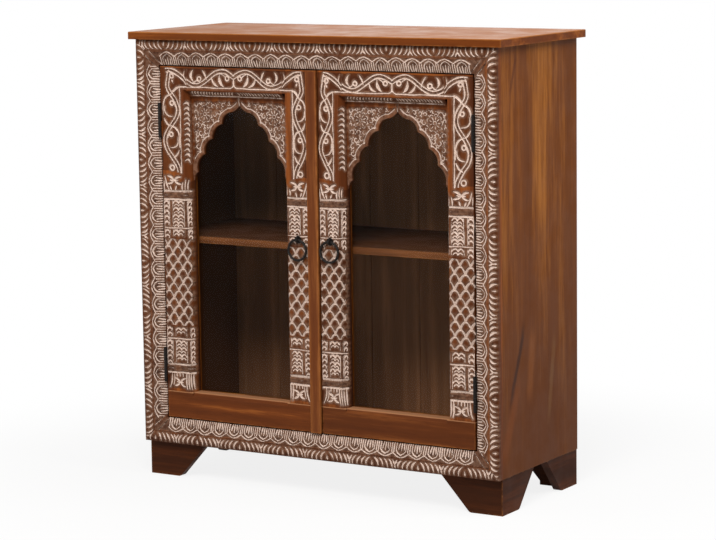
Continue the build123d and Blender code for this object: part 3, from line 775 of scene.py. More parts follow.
def carve_upright_lobe(board, put):
    """Down a corner: an eye hooked to the stem, a leaf edge round the other side, and two leaves. Each
    stroke is a curve through its points, with how wide it swells, the width of its tips and its bias."""
    carve_ring(board, put([(-14, 1.5)])[0])
    for points, wide, tip, bias in CORNER_STROKES:
        board.cut(put(smooth(points)), wide, tip, bias)


# %% The whole scroll
CORNER_EYE, CORNER_LEAF = (157.0, 870.0), ((157.5, 862.0), (155.0, 856.5))
LOW_EYE = 674.0


def carve_level_scroll(board, place, corner):
    """The stem from the middle of the arch to the corner, with what fills its waves."""
    out = np.linspace(0.5, corner - 14, 70)
    height = SCROLL_Z + LEVEL_SWING * np.cos(np.pi * (out - FIRST_CREST) / LEVEL_WAVE)
    carve_stem(board, place(np.column_stack([out, height])))
    lobes = ((FIRST_CREST, 1, -13.0, CREST_LEAVES), (FIRST_CREST + LEVEL_WAVE, -1, -8.5, TROUGH_LEAVES))
    for crest, up, eye, leaves in lobes:
        carve_level_lobe(board, frame_of(place, (crest, SCROLL_Z), (1, 0), (0, up)), eye, leaves)
    carve_ring(board, place(np.array([CORNER_EYE]))[0])
    board.cut(place(np.array(CORNER_LEAF)), 2.0, tip=0.9)


def carve_upright_scroll(board, place, corner, border):
    """The stem down a corner. Its middle and swing follow from the width of its band."""
    middle, swing = border / 2 + 1, border * 0.365
    heights = np.linspace(880, UPRIGHT_END + 1, 90)
    aside = middle - swing * np.cos(np.pi * (heights - UPRIGHT_FIRST) / UPRIGHT_WAVE)
    aside += 0.25 * border * s_step(heights, 838, 868)
    carve_stem(board, place(np.column_stack([corner - aside, heights])))
    for wave, bulge in ((1, -1), (2, 1)):
        centre = (corner - middle, UPRIGHT_FIRST - wave * UPRIGHT_WAVE)
        carve_upright_lobe(board, frame_of(place, centre, (0, -1), (bulge * swing / 17, 0)))
    carve_ring(board, place(np.array([(corner - middle, LOW_EYE)]))[0], 5.4, 1.8)
    turn = np.array([(corner - border, SCROLL_BOTTOM + 1), (corner - border + 9, SCROLL_BOTTOM - 4),
                     (corner - middle, UPRIGHT_FIRST - UPRIGHT_WAVE / 2 + 1)])
    board.cut(place(turn), 2.4, tip=1.2)


def carve_scroll(board, place, width, face_start, border):
    """The scroll as far as it comes onto one board."""
    corner = HALF_OPENING + width - face_start
    carve_level_scroll(board, place, corner)
    carve_upright_scroll(board, place, corner, border)


# %% [markdown]
# ## Columns, collars and fish scales
# Below the scroll each stile is carved as a column. From the top: a capital of crossed leaves, a round
# collar, a block with strips of beads beside stacked double arches, a long shaft of fish scales, a
# second block and collar, and a base. The edge towards the glass is canted, and the carving runs on
# round it, so `u` measures across the face and then on across the cant.

# %% Heights on the column
CANT_RUN, CANT_DEPTH = 8.0, 13.0
CANT = math.hypot(CANT_RUN, CANT_DEPTH)
COLUMN = {"plain_top": 655.0, "capital": 626.0, "collar_top": 622.5, "collar": 607.5, "block": 545.0,
          "shaft_top": 521.0, "shaft": 334.0, "short_block": 305.0, "low_block": 250.0,
          "low_collar": 232.5, "base": 196.0}
print("the column's carving is", COLUMN["plain_top"] - COLUMN["base"], "mm high")

# %% Beads and arches
BEAD_PITCH, ARCH_PITCH = 11.0, 14.5
ARCH_PAIR = ((2.5, 4.8, 0.8, 1.95), (9.0, 3.6, 3.2, 1.4))


def carve_beads(board, low, high, bottom, top):
    """A strip of crescents, one above the other."""
    for z in np.arange(top - 3, bottom + 4, -BEAD_PITCH):
        board.cut(bow((low + 0.6, z - 5), (high - 0.6, z - 4), 4.6), 2.15, tip=1.0)
        board.cut([(high - 1.2, z - 4), (high - 2.4, z - 8)], 1.2, tip=0.5)
    board.line([(low, bottom + 1), (low, top - 1)], 0.7)


def carve_arches(board, low, high, bottom, top):
    """Stacked strokes, each of two small arches side by side: rise |sin(2 pi share)|^0.75."""
    share = np.linspace(0, 1, 25)
    for z in np.arange(top - 5, bottom + 5, -ARCH_PITCH):
        for drop, rise, inset, wide in ARCH_PAIR:
            wave = rise * np.abs(np.sin(2 * np.pi * share)) ** 0.75
            path = np.column_stack([low + inset + share * (high - low - 2 * inset), z - drop + wave])
            board.cut(path, wide, tip=wide * 0.75)


# %% Blocks
BLOCK_BEADS, BLOCK_GROOVE = (0.02, 0.24), (0.27, 0.39)
BLOCK_ARCHES, BLOCK_EDGE = (0.41, 0.885), (0.92, 1.07)


def carve_block(board, start, face, bottom, top):
    """Beads at the outer edge, a plain groove, the arches, another groove, and beads on the cant."""
    carve_beads(board, *(start + face * np.array(BLOCK_BEADS)), bottom, top)
    carve_arches(board, *(start + face * np.array(BLOCK_ARCHES)), bottom, top)
    carve_beads(board, start + face + 6.5, start + face + CANT, bottom, top)
    for low, high in (BLOCK_GROOVE, BLOCK_EDGE):
        low, high = start + low * face, start + high * face
        across = np.abs(board.u - (low + high) / 2)
        inside = (board.v > bottom + 4) & (board.v < top - 3)
        # The grooves are sunk and painted with shade.
        board.ground(s_step((high - low) / 2 - across, -0.4, 0.8) * inside, 1.6, 0.3)
        for edge in (low - 0.8, high + 0.8):
            board.line([(edge, bottom + 4), (edge, top - 3)], 0.55)


# %% Fish scales
SCALE_WIDTH, SCALE_PITCH, SCALE_POWER = 25.0, 16.0, 1.9


def carve_scales(board, start, face, bottom, top):
    """Rows of arches, each standing on the tips of the row below. A point's distance from an arch
    is its height off the curve, times the cosine of the curve's slope."""
    inside = (board.v > bottom) & (board.v < top) & (board.u > start - 1)
    scoop = np.zeros(board.u.size)
    for row in range(math.ceil((top - bottom) / SCALE_PITCH) + 1):
        base = top - (row + 1) * SCALE_PITCH
        shift = SCALE_WIDTH / 2 * (row % 2)
        x = (board.u - start - 8 + shift) % SCALE_WIDTH - SCALE_WIDTH / 2
        share = np.abs(x) / (SCALE_WIDTH / 2)
        curve = base + SCALE_PITCH * (1 - share**SCALE_POWER)
        slope = SCALE_PITCH * SCALE_POWER * np.maximum(share, 0.02) ** (SCALE_POWER - 1) / (SCALE_WIDTH / 2)
        away = np.abs(board.v - curve) / np.sqrt(1 + slope**2)
        near = inside & (board.v > base - 3) & (board.v < base + SCALE_PITCH + 4)
        half = 1.75 + 0.8 * share**4
        board.gap[near] = np.minimum(board.gap[near], (away - half)[near])
        below = np.clip((curve - board.v) / SCALE_PITCH, 0, 1)
        hollow = np.where(board.v < curve, 2.2 * np.exp(-below * 1.9) * s_step(below, 0, 0.1), 0)
        scoop = np.where(near, np.maximum(scoop, hollow), scoop)
    # The scoops are sunk, and painted shade falls darkest just under each arch.
    board.sink = np.maximum(board.sink, scoop * inside)
    board.shade = np.maximum(board.shade, (0.35 + 0.5 * s_step(scoop, 0.6, 1.9)) * inside)
    board.keep_clear(inside & (board.u > start + face + CANT - 3.5), 1.0)


# %% Collars
ROUND_DROP = 2.4
COLLAR_LINES = ((-1.6, 1.8), (1.4, 2.3))


def carve_collar(board, bottom, top):
    """A round collar: a half round standing between two lines of lime."""
    middle, half = (bottom + top) / 2, (top - bottom) / 2
    across = np.abs(board.v - middle) / half
    drop = np.where(across < 1, ROUND_DROP * (1 - np.sqrt(np.maximum(1 - across**2, 0))), 0)
    board.sink = np.maximum(board.sink, drop)
    board.gap = np.where(across < 1, np.minimum(board.gap, 0.3 + 1.2 * across), board.gap)
    for edge, (above, half) in zip((bottom, top), COLLAR_LINES):
        board.line([(-5, edge + above), (130, edge + above)], half)


# %% Capital and base
def carve_star(board, centre, reach_u, reach_v):
    """Crossed leaves: four strokes out from the middle and a short one to each side."""
    centre = np.array(centre)
    for x, y in ((1, 1), (1, -1), (-1, 1), (-1, -1)):
        tip = centre + (x * reach_u, y * reach_v)
        board.cut(bow(centre + (x * 1.0, y * 1.0), tip, 1.6 * x * y), 2.3, tip=1.1)
    for x in (-1, 1):
        board.cut([centre, centre + (x * reach_u * 0.6, 0)], 2.1, tip=1.0)


def carve_capital(board, start, face):
    """A star of leaves, two small leaves under it, and long edges that lean in to the collar."""
    foot, top = COLUMN["capital"], COLUMN["plain_top"]
    carve_star(board, (start + 0.5 * face, top - 7.5), 0.29 * face, 8.0)
    for x, lean in ((0.33, 1.5), (0.56, -1.5)):
        board.cut([(start + x * face + lean, foot + 1), (start + x * face - lean, foot + 9)], 1.7, tip=0.8)
    board.cut(bow((start + 0.07 * face, top), (start + 0.26 * face, foot), -1.5), 1.7, tip=0.8)
    board.cut([(start + 0.02 * face, top - 9), (start + 0.05 * face, foot)], 1.3, tip=0.6)
    for x, reach in ((0.86, 17), (1.0, 24), (1.12, 22)):
        u = start + x * face
        board.cut(bow((u, foot + 1), (u + 1.5, foot + reach), 1.2), 1.6, tip=0.6)


def carve_base(board, start, face):
    """A star of leaves under the collar, short flutes, and edges that flare out to the rail."""
    top, bottom = COLUMN["low_collar"] - 3, COLUMN["base"]
    carve_star(board, (start + 0.56 * face, bottom + 14), 0.24 * face, 8.5)
    for k in range(-1, 2):
        spot = start + 0.56 * face + k * 7.0
        board.cut([(spot, top + 1), (spot + 0.8 * k, top - 8)], 1.4, tip=0.6)
    board.cut(bow((start + 0.2 * face, top), (start + 0.08 * face, bottom + 1), 2.5), 1.7, tip=0.7)
    board.cut(bow((start + 0.31 * face, top - 2), (start + 0.24 * face, bottom + 6), 1.5), 1.4, tip=0.6)
    for k in range(4):
        u = start + 0.86 * face + k * 6.0
        board.cut(bow((u, top + 1), (u + 2.0, bottom), -1.2), 1.9, tip=0.8)


# %% Rope on the cant
ROPE_BOTTOM, ROPE_TOP = 690.0, 818.0


def carve_rope(board, start, face):
    """Comma strokes that wind down the cant like the strands of a rope."""
    u = start + face
    for z in np.arange(ROPE_TOP - 5, ROPE_BOTTOM, -BEAD_PITCH):
        board.cut(bow((u + 1.5, z - 2.5), (u + CANT - 2.0, z - 6.5), 5.0), 2.3, tip=0.6, bias=1.2)


# %% Carve a stile
BORDER_LINE, JOINT_LINE = 1.1, 1.2


def carve_column(board, start, width, face):
    """What stands one above the other below the scroll, from the capital down to the base."""
    carve_capital(board, start, face)
    carve_collar(board, COLUMN["collar"], COLUMN["collar_top"])
    carve_block(board, start, face, COLUMN["block"], COLUMN["collar"] - 2)
    board.line([(start, COLUMN["block"]), (width + 20, COLUMN["block"])], JOINT_LINE)
    carve_block(board, start, face, COLUMN["shaft_top"] + 3, COLUMN["block"] - 2)
    carve_scales(board, start, face, COLUMN["shaft"], COLUMN["shaft_top"])
    carve_block(board, start, face, COLUMN["short_block"] + 2, COLUMN["shaft"] - 3)
    board.line([(start, COLUMN["short_block"]), (width + 20, COLUMN["short_block"])], JOINT_LINE)
    carve_block(board, start, face, COLUMN["low_block"], COLUMN["short_block"] - 2)
    carve_collar(board, COLUMN["low_collar"], COLUMN["low_block"] - 2.5)
    carve_base(board, start, face)
    column = (board.v < COLUMN["collar_top"] + 22) & (board.v > COLUMN["base"])
    # Painted shade on the ground between the cuts.
    board.ground(s_step(board.gap, 0.2, 1.4) * column, 0.5, 0.55)


def carve_stile(board, start, width, border):
    """A whole stile. start is where its carving begins, measured from the outer edge of the board, and
    border how wide the scroll's band is."""
    face = width - CANT_RUN - start
    side = start + border
    wall = HALF_OPENING + width
    carve_scroll(board, lambda p: np.column_stack([wall - p[:, 0], p[:, 1]]), width, start, border)
    inside = (board.v < SCROLL_TOP) & (board.v > UPRIGHT_END + 3)
    inside &= (board.u < side - 1) | (board.v > SCROLL_BOTTOM + 1)
    # Painted shade on the ground of the scroll.
    board.ground(s_step(board.gap, 0.4, 1.8) * inside, 1.2, 0.65)
    board.leave_plain((board.u > side) & (board.v < SCROLL_BOTTOM))
    board.leave_plain((board.v < UPRIGHT_END) | (board.v > SCROLL_TOP + 2))
    board.line([(side, UPRIGHT_END), (side, SCROLL_BOTTOM), (side + 40, SCROLL_BOTTOM)], BORDER_LINE)
    carve_rope(board, start, face)
    carve_column(board, start, width, face)
    board.leave_plain(board.u < start)


# %% Build the stiles
ROW_PITCH, COLUMN_PITCH = 0.9, 0.86
CANT_TOP_ABOVE, REBATE, CLOSING_BEVEL = 14.0, 8.0, 3.2
ROUNDED = 1.2
STILES = (("left", "hinge", 48.0, 0.2, 23), ("left", "meeting", 35.0, 0.2, 24),
          ("right", "hinge", 43.5, 0.25, 21), ("right", "meeting", 35.0, 0.15, 22))


def stile(hand, kind, border, wash, seed):
    """A stile from the sill to the top of the door, in sections one above the other. What the meeting
    strip covers of it isn't carved."""
    name = f"{hand}_{kind}_stile"
    low, high = box_mm(name)
    end = int((hand == "right") == (kind == "hinge"))
    outer_x = (low, high)[end][0]
    panel = "outer" if kind == "hinge" else "inner"
    wall_x = box_mm(f"{hand}_{panel}_spandrel")[end][0]
    start = outer_x - box_mm("meeting_strip")[0][0] if name == "left_meeting_stile" else 0.0
    front, back = low[1], high[1]
    bottom, top = box_mm(f"{hand}_bottom_rail")[1][2], high[2]
    opening_top = box_mm(f"{hand}_outer_spandrel")[1][2]
    glass_y = box_mm(f"{hand}_glass")[0][1]
    width = abs(wall_x - outer_x)
    towards = np.sign(wall_x - outer_x)
    face = width - CANT_RUN
    covered = np.linspace(0, start, 4)[:-1] if start else np.zeros(0)
    on_face = np.linspace(start, face, round((face - start) / COLUMN_PITCH))
    on_cant = np.linspace(face, width - CANT_RUN + CANT, 19)[1:]
    u = np.concatenate([covered, on_face, on_cant])
    cant_top, rebate_top = opening_top + CANT_TOP_ABOVE, opening_top + REBATE
    steps = np.add.outer([cant_top, rebate_top], [-0.01, 0.01]).ravel()
    z = np.sort(np.concatenate([np.linspace(bottom, top, round((top - bottom) / ROW_PITCH)), steps]))
    board = Board(u, z[:, None], seed)
    carve_stile(board, start, width, border)
    depth = board.depth()
    share = np.clip((u - face) / CANT, 0, 1)
    canted = (z < cant_top)[:, None] * share
    turned = (z < cant_top)[:, None] * s_step(u - face, -ROUNDED, ROUNDED)
    across = np.where(u < face, u, face + share * CANT_RUN) - turned * depth * CANT_DEPTH / CANT
    behind = canted * CANT_DEPTH + depth * (1 - turned * (1 - CANT_RUN / CANT))
    rebated = (z < rebate_top)[:, None]
    bevel = CLOSING_BEVEL if kind == "meeting" else 0.0
    wall = np.full((len(z), 1), width)
    loop_u = np.hstack([across, wall, wall - REBATE * rebated, wall - REBATE * rebated,
                        np.full((len(z), 1), bevel)])
    middle_y = np.where(rebated, glass_y, (glass_y + back) / 2)
    loop_y = np.hstack([front + behind, np.full((len(z), 1), glass_y), middle_y,
                        np.full((len(z), 2), back)])
    loop_z = np.broadcast_to(z[:, None], loop_u.shape)
    points = np.stack([outer_x + towards * loop_u, loop_y, loop_z], axis=-1)
    # The wall and back behind the carving get full painted shade.
    carved_piece(name, points, board, 1.0, ("Z", seed, wash), f"{hand}_door")


for row in STILES:
    stile(*row)
print(len(STILES), "stiles carved")

# %% [markdown]
# ## The top rails
# The rail carries the middle of the scroll, and a rope is cut into its cant above the arch. Its board
# measures `u` from the middle of the arch and `v` in height, going on down across the cant.

# %% Carve a top rail
RAIL_CANT = math.hypot(CANT_DEPTH, CANT_TOP_ABOVE)
RAIL_CORNER = 185.5
ROPE_PITCH, ROPE_START, ROPE_END = 7.2, 5, 106
CUSP = ((140, 0), (9, 0.5), (3, 3), (0, 9))
UNDER_ROPE, UNDER_ROPE_DROP = 112, 16.8


def carve_rail(board, opening_top):
    """Both halves of the scroll, a cusp in the middle, and the rope along the cant."""
    cant_top = opening_top + CANT_TOP_ABOVE
    for side in (-1, 1):
        carve_level_scroll(board, lambda p, side=side: p * (side, 1), RAIL_CORNER)
        board.line([(side * u, SCROLL_BOTTOM + v) for u, v in CUSP], JOINT_LINE)
        for u in np.arange(ROPE_START, ROPE_END, ROPE_PITCH):
            start, end = (side * u, cant_top - 5), (side * (u + 3.8), cant_top - 13.5)
            board.cut(bow(start, end, side * 1.6), 1.35, tip=0.5)
    board.cut([(0, SCROLL_BOTTOM + 4), (0, SCROLL_BOTTOM + 21)], 2.0, tip=1.0)
    # Painted shade on the ground under the rope and in the scroll.
    board.ground(s_step(8 - np.abs(board.v - cant_top + 9.5), 0, 3), 0.8, 0.8)
    inside = (board.v > SCROLL_BOTTOM + 1) & (board.v < SCROLL_TOP)
    board.ground(s_step(board.gap, 0.4, 1.8) * inside, 1.2, 0.65)
    under = cant_top - UNDER_ROPE_DROP
    board.line([(-UNDER_ROPE, under), (UNDER_ROPE, under)], 0.7)
    board.leave_plain(board.v > SCROLL_TOP + 2)


# %% Build the top rails
def top_rail(hand, seed):
    """The rail between the stiles, in sections from left to right."""
    name = f"{hand}_top_rail"
    low, high = box_mm(name)
    front, back, top = low[1], high[1], high[2]
    glass_y = box_mm(f"{hand}_glass")[0][1]
    panels = np.array([box_mm(f"{hand}_{kind}_spandrel") for kind in ("outer", "inner")])
    left, right, opening_top = panels[:, 0, 0].min(), panels[:, 1, 0].max(), panels[0, 1, 2]
    cant_top = opening_top + CANT_TOP_ABOVE
    on_face = np.linspace(top, cant_top, round((top - cant_top) / COLUMN_PITCH))
    on_cant = np.linspace(cant_top, cant_top - RAIL_CANT, 23)[1:]
    v = np.concatenate([on_face, on_cant])
    x = np.linspace(left, right, round((right - left) / COLUMN_PITCH))
    board = Board((x - (left + right) / 2)[:, None], v, seed)
    carve_rail(board, opening_top)
    depth = board.depth()
    share = np.clip((cant_top - v) / RAIL_CANT, 0, 1)
    turned = s_step(cant_top - v, -ROUNDED, ROUNDED)
    height = np.where(v > cant_top, v, cant_top - share * CANT_TOP_ABOVE)
    height = height + turned * depth * CANT_DEPTH / RAIL_CANT
    behind = share * CANT_DEPTH + depth * (1 - turned * (1 - CANT_TOP_ABOVE / RAIL_CANT))
    rest_z = np.broadcast_to([opening_top, opening_top + REBATE, opening_top + REBATE, top], (len(x), 4))
    rest_y = np.broadcast_to([glass_y, glass_y, back, back], (len(x), 4))
    loop_z = np.hstack([height, rest_z])
    loop_y = np.hstack([front + behind, rest_y])
    points = np.stack([np.broadcast_to(x[:, None], loop_z.shape), loop_y, loop_z], axis=-1)
    # The wall and back behind the carving get full painted shade.
    carved_piece(name, points, board, 1.0, ("X", seed, 0.15), f"{hand}_door")


for hand, seed in (("left", 31), ("right", 32)):
    top_rail(hand, seed)
print("top rails carved")

# %% [markdown]
# ## The cusped arch
# Each arch is two panels that meet above its point. A panel's inner edge is a run of small arcs with a
# cusp between each pair. Its mesh is ruled: every line starts on the arch and ends on the square
# outline behind it, so the cusps stay sharp and the field between them fills without a gap.

# %% The arch's outline
APEX_DROP, FOOT_DROP = 17.0, 162.0
CUSP_SHARES = (0.167, 0.383, 0.592, 0.767, 0.917)
CUSP_DROPS = (14.0, 40.0, 72.0, 105.0, 144.0)
TIP_RISE, LOBE_RISE, FOOT_RISE = -1.5, 8.0, 2.0
ARC_STEPS = 34


def arc_through(begin, end, rise, count):
    """A circular arc from begin to end whose middle stands rise to the left of the chord."""
    begin, end = np.array(begin), np.array(end)
    chord = np.linalg.norm(end - begin)
    left = np.array([-(end - begin)[1], (end - begin)[0]]) / chord
    radius = (chord**2 / 4 + rise**2) / (2 * rise)
    centre = (begin + end) / 2 + left * (rise - radius)
    start = math.atan2(*(begin - centre)[::-1])
    sweep = -2 * math.asin(chord / (2 * radius))
    angle = start + sweep * np.linspace(0, 1, count)
    return centre + abs(radius) * np.column_stack([np.cos(angle), np.sin(angle)])


def arch_edge(half_width):
    """Half of the arch from its apex to its foot, as across and up from the top of the opening."""
    stations = [(0.0, -APEX_DROP)]
    for share, drop in zip(CUSP_SHARES, CUSP_DROPS):
        stations.append((share * half_width, -APEX_DROP - drop))
    stations.append((half_width - 0.3, -APEX_DROP - FOOT_DROP))
    rises = [TIP_RISE] + [LOBE_RISE] * (len(CUSP_DROPS) - 1) + [FOOT_RISE]
    spans = [arc_through(a, b, rise, ARC_STEPS)[:-1] for a, b, rise in zip(stations, stations[1:], rises)]
    return np.vstack([*spans, [stations[-1]]])


# %% Flowers and leaves of the arch panel
FLOWER, FLOWER_RADIUS, FLOWER_PETALS = (87.0, -37.0), 16.0, 9
BORDER, RIM_DROP = 8.8, 2.6
FIRST_TURN, NEXT_TURN = 70, 97
LEAF_TURNS = (40, 130, 215)
CURLS = ((27, -15, 3.6), (40, -17, 5.4), (53, -18, 5.2), (50, -31, 5.4), (63, -37, 6.0), (66, -20, 5.2),
         (79, -14.5, 3.6), (96, -14.5, 3.6), (110, -18, 5.0), (111, -33, 4.6), (111, -48, 4.6),
         (62, -51, 5.4), (79, -62, 5.0), (93, -62, 6.0), (107, -62, 6.0), (84, -75, 5.6), (98, -77, 6.4),
         (111, -77, 4.2), (93, -90, 5.0), (106, -92, 6.2), (106, -106, 5.4), (106, -119, 4.6))


def carve_flower(board, centre, radius, petals):
    """A daisy: a ring round its eye, and petals with a cut between each pair and one along each."""
    board.line(arc(centre, radius * 0.24, 0, 360, 13), 0.8)
    for k in range(petals):
        turn = 2 * math.pi * k / petals
        way = np.array([math.cos(turn), math.sin(turn)])
        board.cut([centre + way * radius * 0.36, centre + way * radius * 0.9], 1.0, tip=0.3)
        board.cut(arc(centre + way * radius * 0.9, radius * 0.24, math.degrees(turn) - 100,
                      math.degrees(turn) + 100, 9), 0.8)


# %% Carve an arch panel
def carve_spandrel(board, edge, half_width):
    """A rounded rim and a line along the arch, and in the field a daisy among curls and small leaves."""
    inner = beside(edge, BORDER)
    keep = (inner[:, 0] > 1) & (inner[:, 0] < half_width - 4) & (inner[:, 1] < -9) & (inner[:, 1] > -146)
    rim = distance_to(board, edge[::2])
    board.sink = np.maximum(board.sink, RIM_DROP * np.clip(1 - rim / BORDER, 0, 1) ** 1.6)
    carve_flower(board, np.array(FLOWER), FLOWER_RADIUS, FLOWER_PETALS)
    for k, (u, v, radius) in enumerate(CURLS):
        turn, hand = FIRST_TURN + NEXT_TURN * k, 1 - 2 * (k % 2)
        board.cut(curl((u, v), radius, turn, hand), 1.15, tip=0.4, bias=0.7)
        for way in (turn + leaf * hand for leaf in LEAF_TURNS):
            start, end = (arc((u, v), radius + reach, way, way + 14 * hand, 2)[0] for reach in (0.8, 4.0))
            board.cut([start, end], 1.0, tip=0.4)
    ragged = 0.8 * np.sin(board.u / 2.3) * np.sin(board.u / 5.1)
    inside = (board.v < -9.5 + ragged) & (board.u < half_width - 6 + ragged) & (rim > BORDER)
    board.keep_clear(~inside, 1.6)
    board.make_dusty((rim < BORDER) & (board.v < -12), 2.4)
    # Painted shade on the ground of the field.
    board.ground(s_step(board.gap, 0.2, 1.6) * inside, 1.2, 0.5)
    board.line(inner[keep][::3], 1.3)
    board.line([(0.0, 2), (0.0, -24)], 0.5)


# %% Build the arch panels
ACROSS_PANEL, DEEPEST = 84, 4.5


def spandrel(hand, kind, seed):
    """A ruled panel from the arch to the square outline, with a flat back."""
    name = f"{hand}_{kind}_spandrel"
    low, high = box_mm(name)
    half_width = high[0] - low[0]
    apex_left = (hand == "right") == (kind == "outer")
    apex_x, towards = (low[0], 1) if apex_left else (high[0], -1)
    edge = arch_edge(half_width)
    twice = np.linspace(0, 2, len(edge))
    square = np.column_stack([half_width * np.clip(twice, 0, 1), edge[-1, 1] * np.clip(twice - 1, 0, 1)])
    rule = np.linspace(0, 1, ACROSS_PANEL)[None, :, None]
    flat = edge[:, None] + (square - edge)[:, None] * rule
    board = Board(flat[..., 0], flat[..., 1], seed)
    carve_spandrel(board, edge, half_width)
    depth = np.minimum(board.depth(), DEEPEST)
    front = np.stack([apex_x + towards * flat[..., 0], low[1] + depth, high[2] + flat[..., 1]], axis=-1)
    back = np.stack([front[:, -1], front[:, 0]], axis=1)
    back[..., 1] = high[1]
    points = np.concatenate([front, back], axis=1)
    # The back of the panel gets part of the painted shade.
    carved_piece(name, points, board, 0.6, ("Z", seed, 0.1, 0.78, 0.7), f"{hand}_door")


PANELS = (("left", "outer"), ("left", "inner"), ("right", "outer"), ("right", "inner"))
for seed, (hand, kind) in enumerate(PANELS, start=41):
    spandrel(hand, kind, seed)
print(len(PANELS), "arch panels carved")

# %% [markdown]
# ## Iron
# The pulls and hinges are blackened iron. Each ring was forged from a twisted bar, so its wire is a
# little square and the corners wind along it. It is a tube whose radius depends on both angles: the
# one round the ring and the one round the wire.


# %% Blackened iron
def black_iron(name, seed):
    """Iron under a thin scale that forging left, with rust in its pits."""
    paint = Paint(name)
    place = paint.place()
    scale = paint.noise(place, 260.0 + seed, 4.0, 0.6)
    pits = paint.step(paint.noise(place, 900.0, 2.0, 0.5), 0.55, 0.75)
    body = paint.blend(paint.step(scale, 0.35, 0.75), colour(10, 8, 7), colour(32, 26, 22))
    body = paint.blend(paint.times(pits, 0.5), body, colour(58, 36, 26))
    rough = paint.step(scale, 0.3, 0.7, 0.34, 0.6)
    normal = paint.bump(paint.math("SUBTRACT", scale, pits), 0.5, 0.0003)
    return paint.surface({"Base Color": body, "Metallic": 0.3, "Roughness": rough, "Normal": normal,
                          "Specular IOR Level": 0.2})


# %% Ring pulls
WIRE_TURNS, WIRE_FLATS, WIRE_FLATTENING = 13, 4, 0.14


def ring_pull(hand, seed):
    """A forged ring: radius of wire = r (1 - flattening (1 - cos(flats (angle + turns))) / 2)."""
    name = f"{hand}_pull_ring"
    low, high = box_mm(name)
    centre, wire = (low + high) / 2, (high[1] - low[1]) / 2
    radius = (high[2] - low[2]) / 2 - wire
    round_ring = np.linspace(0, 2 * np.pi, 192, endpoint=False)[:, None]
    round_wire = np.linspace(0, 2 * np.pi, 28, endpoint=False)[None]
    twist = WIRE_FLATS * round_wire + WIRE_TURNS * round_ring
    thick = wire * (1 - WIRE_FLATTENING * (1 - np.cos(twist)) / 2)
    out = radius + thick * np.cos(round_wire)
    points = np.stack([centre[0] + out * np.cos(round_ring), centre[1] + thick * np.sin(round_wire),
                       centre[2] + out * np.sin(round_ring)], axis=-1)
    finish = black_iron("iron_" + name, seed)
    make_piece("forged_" + name, points, {}, finish, f"{hand}_ring", name, ring=True)


for hand, seed in (("left", 51), ("right", 52)):
    ring_pull(hand, seed)
print("two rings forged, each with", WIRE_TURNS, "turns of twist")

# %% [markdown]
# ## The boards and fittings that keep their imported shape
# Everything else is already the right shape and needs only a finish. A sawn board's edges are never
# quite sharp, though, and a thin line of light along them is what makes wood look solid. So each wooden
# board is replaced by a copy of its imported mesh: the copy's loose triangles are merged, and a Bevel
# modifier eases its edges. The grain runs the long way of each board. Boards that were bought, sawn or
# stained at another time differ in tone. What faces up has light and shade painted on: the top is
# painted lighter as its sheen, the sills of the doors paler as their highlight, and the shelf darker
# as the shade inside the cabinet.

# %% What each board is finished with
INNER_FINISH = {"gloss": 0.6, "stains": stain((144, 99, 69), (130, 89, 62), (112, 75, 51))}
# The sill's pale top is a painted highlight.
SILL = {"gloss": 0.36, "upper": (colour(184, 134, 96), 0.45)}
SIDE_FINISH = {"inside_x": 0.4165}
SIDE_MARKS = (((-0.128, 0.19), (-0.068, 0.40), 0.011, colour(46, 22, 11), 0.8),
              ((-0.160, 0.08), (-0.096, 0.28), 0.024, colour(112, 58, 24), 0.45),
              ((-0.045, 0.20), (-0.030, 0.38), 0.020, colour(128, 74, 34), 0.4),
              ((0.040, 0.14), (0.066, 0.36), 0.012, colour(126, 92, 58), 0.25),
              ((-0.122, 0.84), (-0.098, 0.935), 0.008, colour(70, 32, 14), 0.6))
FINISH_OF_BOARD = {
    # The top face's lighter colour is a painted sheen.
    "top_board": {"gloss": 0.36, "stains": stain((142, 80, 30), (112, 56, 18), (84, 40, 13)),
                  "upper": (colour(146, 90, 42), 0.65), "shine": 0.04},
    # The shelf's dark top is painted shade.
    "shelf": {"gloss": 0.5, "stains": stain((126, 78, 45), (104, 60, 33), (74, 41, 22)),
              "upper": (colour(60, 35, 22), 0.85)},
    "left_bottom_rail": {"stains": stain((152, 88, 38), (114, 58, 23), (74, 36, 15)), **SILL},
    "right_bottom_rail": {"stains": stain((128, 74, 34), (98, 50, 21), (66, 32, 14)), **SILL},
    "meeting_strip": {"stains": stain((138, 84, 42), (110, 60, 28), (78, 38, 18))},
    "left_side": SIDE_FINISH,
    "right_side": {"marks": SIDE_MARKS, **SIDE_FINISH}}
FINISH_OF_SLOT = {
    "foot_wood": {"gloss": 0.5, "stains": stain((76, 38, 17), (60, 29, 12), (42, 20, 9))},
    "inner_wood": INNER_FINISH}
print(len(FINISH_OF_BOARD), "boards have a finish of their own")

# %% Eased copies of the boards
EASED = 0.0009


def long_way(node):
    """The axis along which a piece is longest."""
    low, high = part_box(node)
    return "XYZ"[int(np.argmax(np.array(high) - np.array(low)))]


def eased_board(name, node, finish):
    """A merged copy of a packed board with eased edges, which stands for it."""
    merged = bmesh.new()
    merged.from_mesh(node.data)
    bmesh.ops.remove_doubles(merged, verts=merged.verts, dist=0.00001)
    mesh = bpy.data.meshes.new("eased_" + name)
    merged.to_mesh(mesh)
    merged.free()
    mesh.materials.clear()
    mesh.materials.append(finish)
    board = add_object("eased_" + name, mesh)
    ease = board.modifiers.new("ease", "BEVEL")
    ease.width = EASED
    ease.segments = 2
    ease.limit_method = "ANGLE"
    ease.angle_limit = math.radians(35)
    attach(board, body_of[name])
    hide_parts(name)


# %% [markdown]
# ## Glass and plastic
# A pane of clear glass bends light too little to show, so it is made as a surface that lets light
# straight through and mirrors a small share of it. That share grows where the pane is seen at a
# slant. The catches under the shelf are moulded, in a brown that is hard to see in the shade.


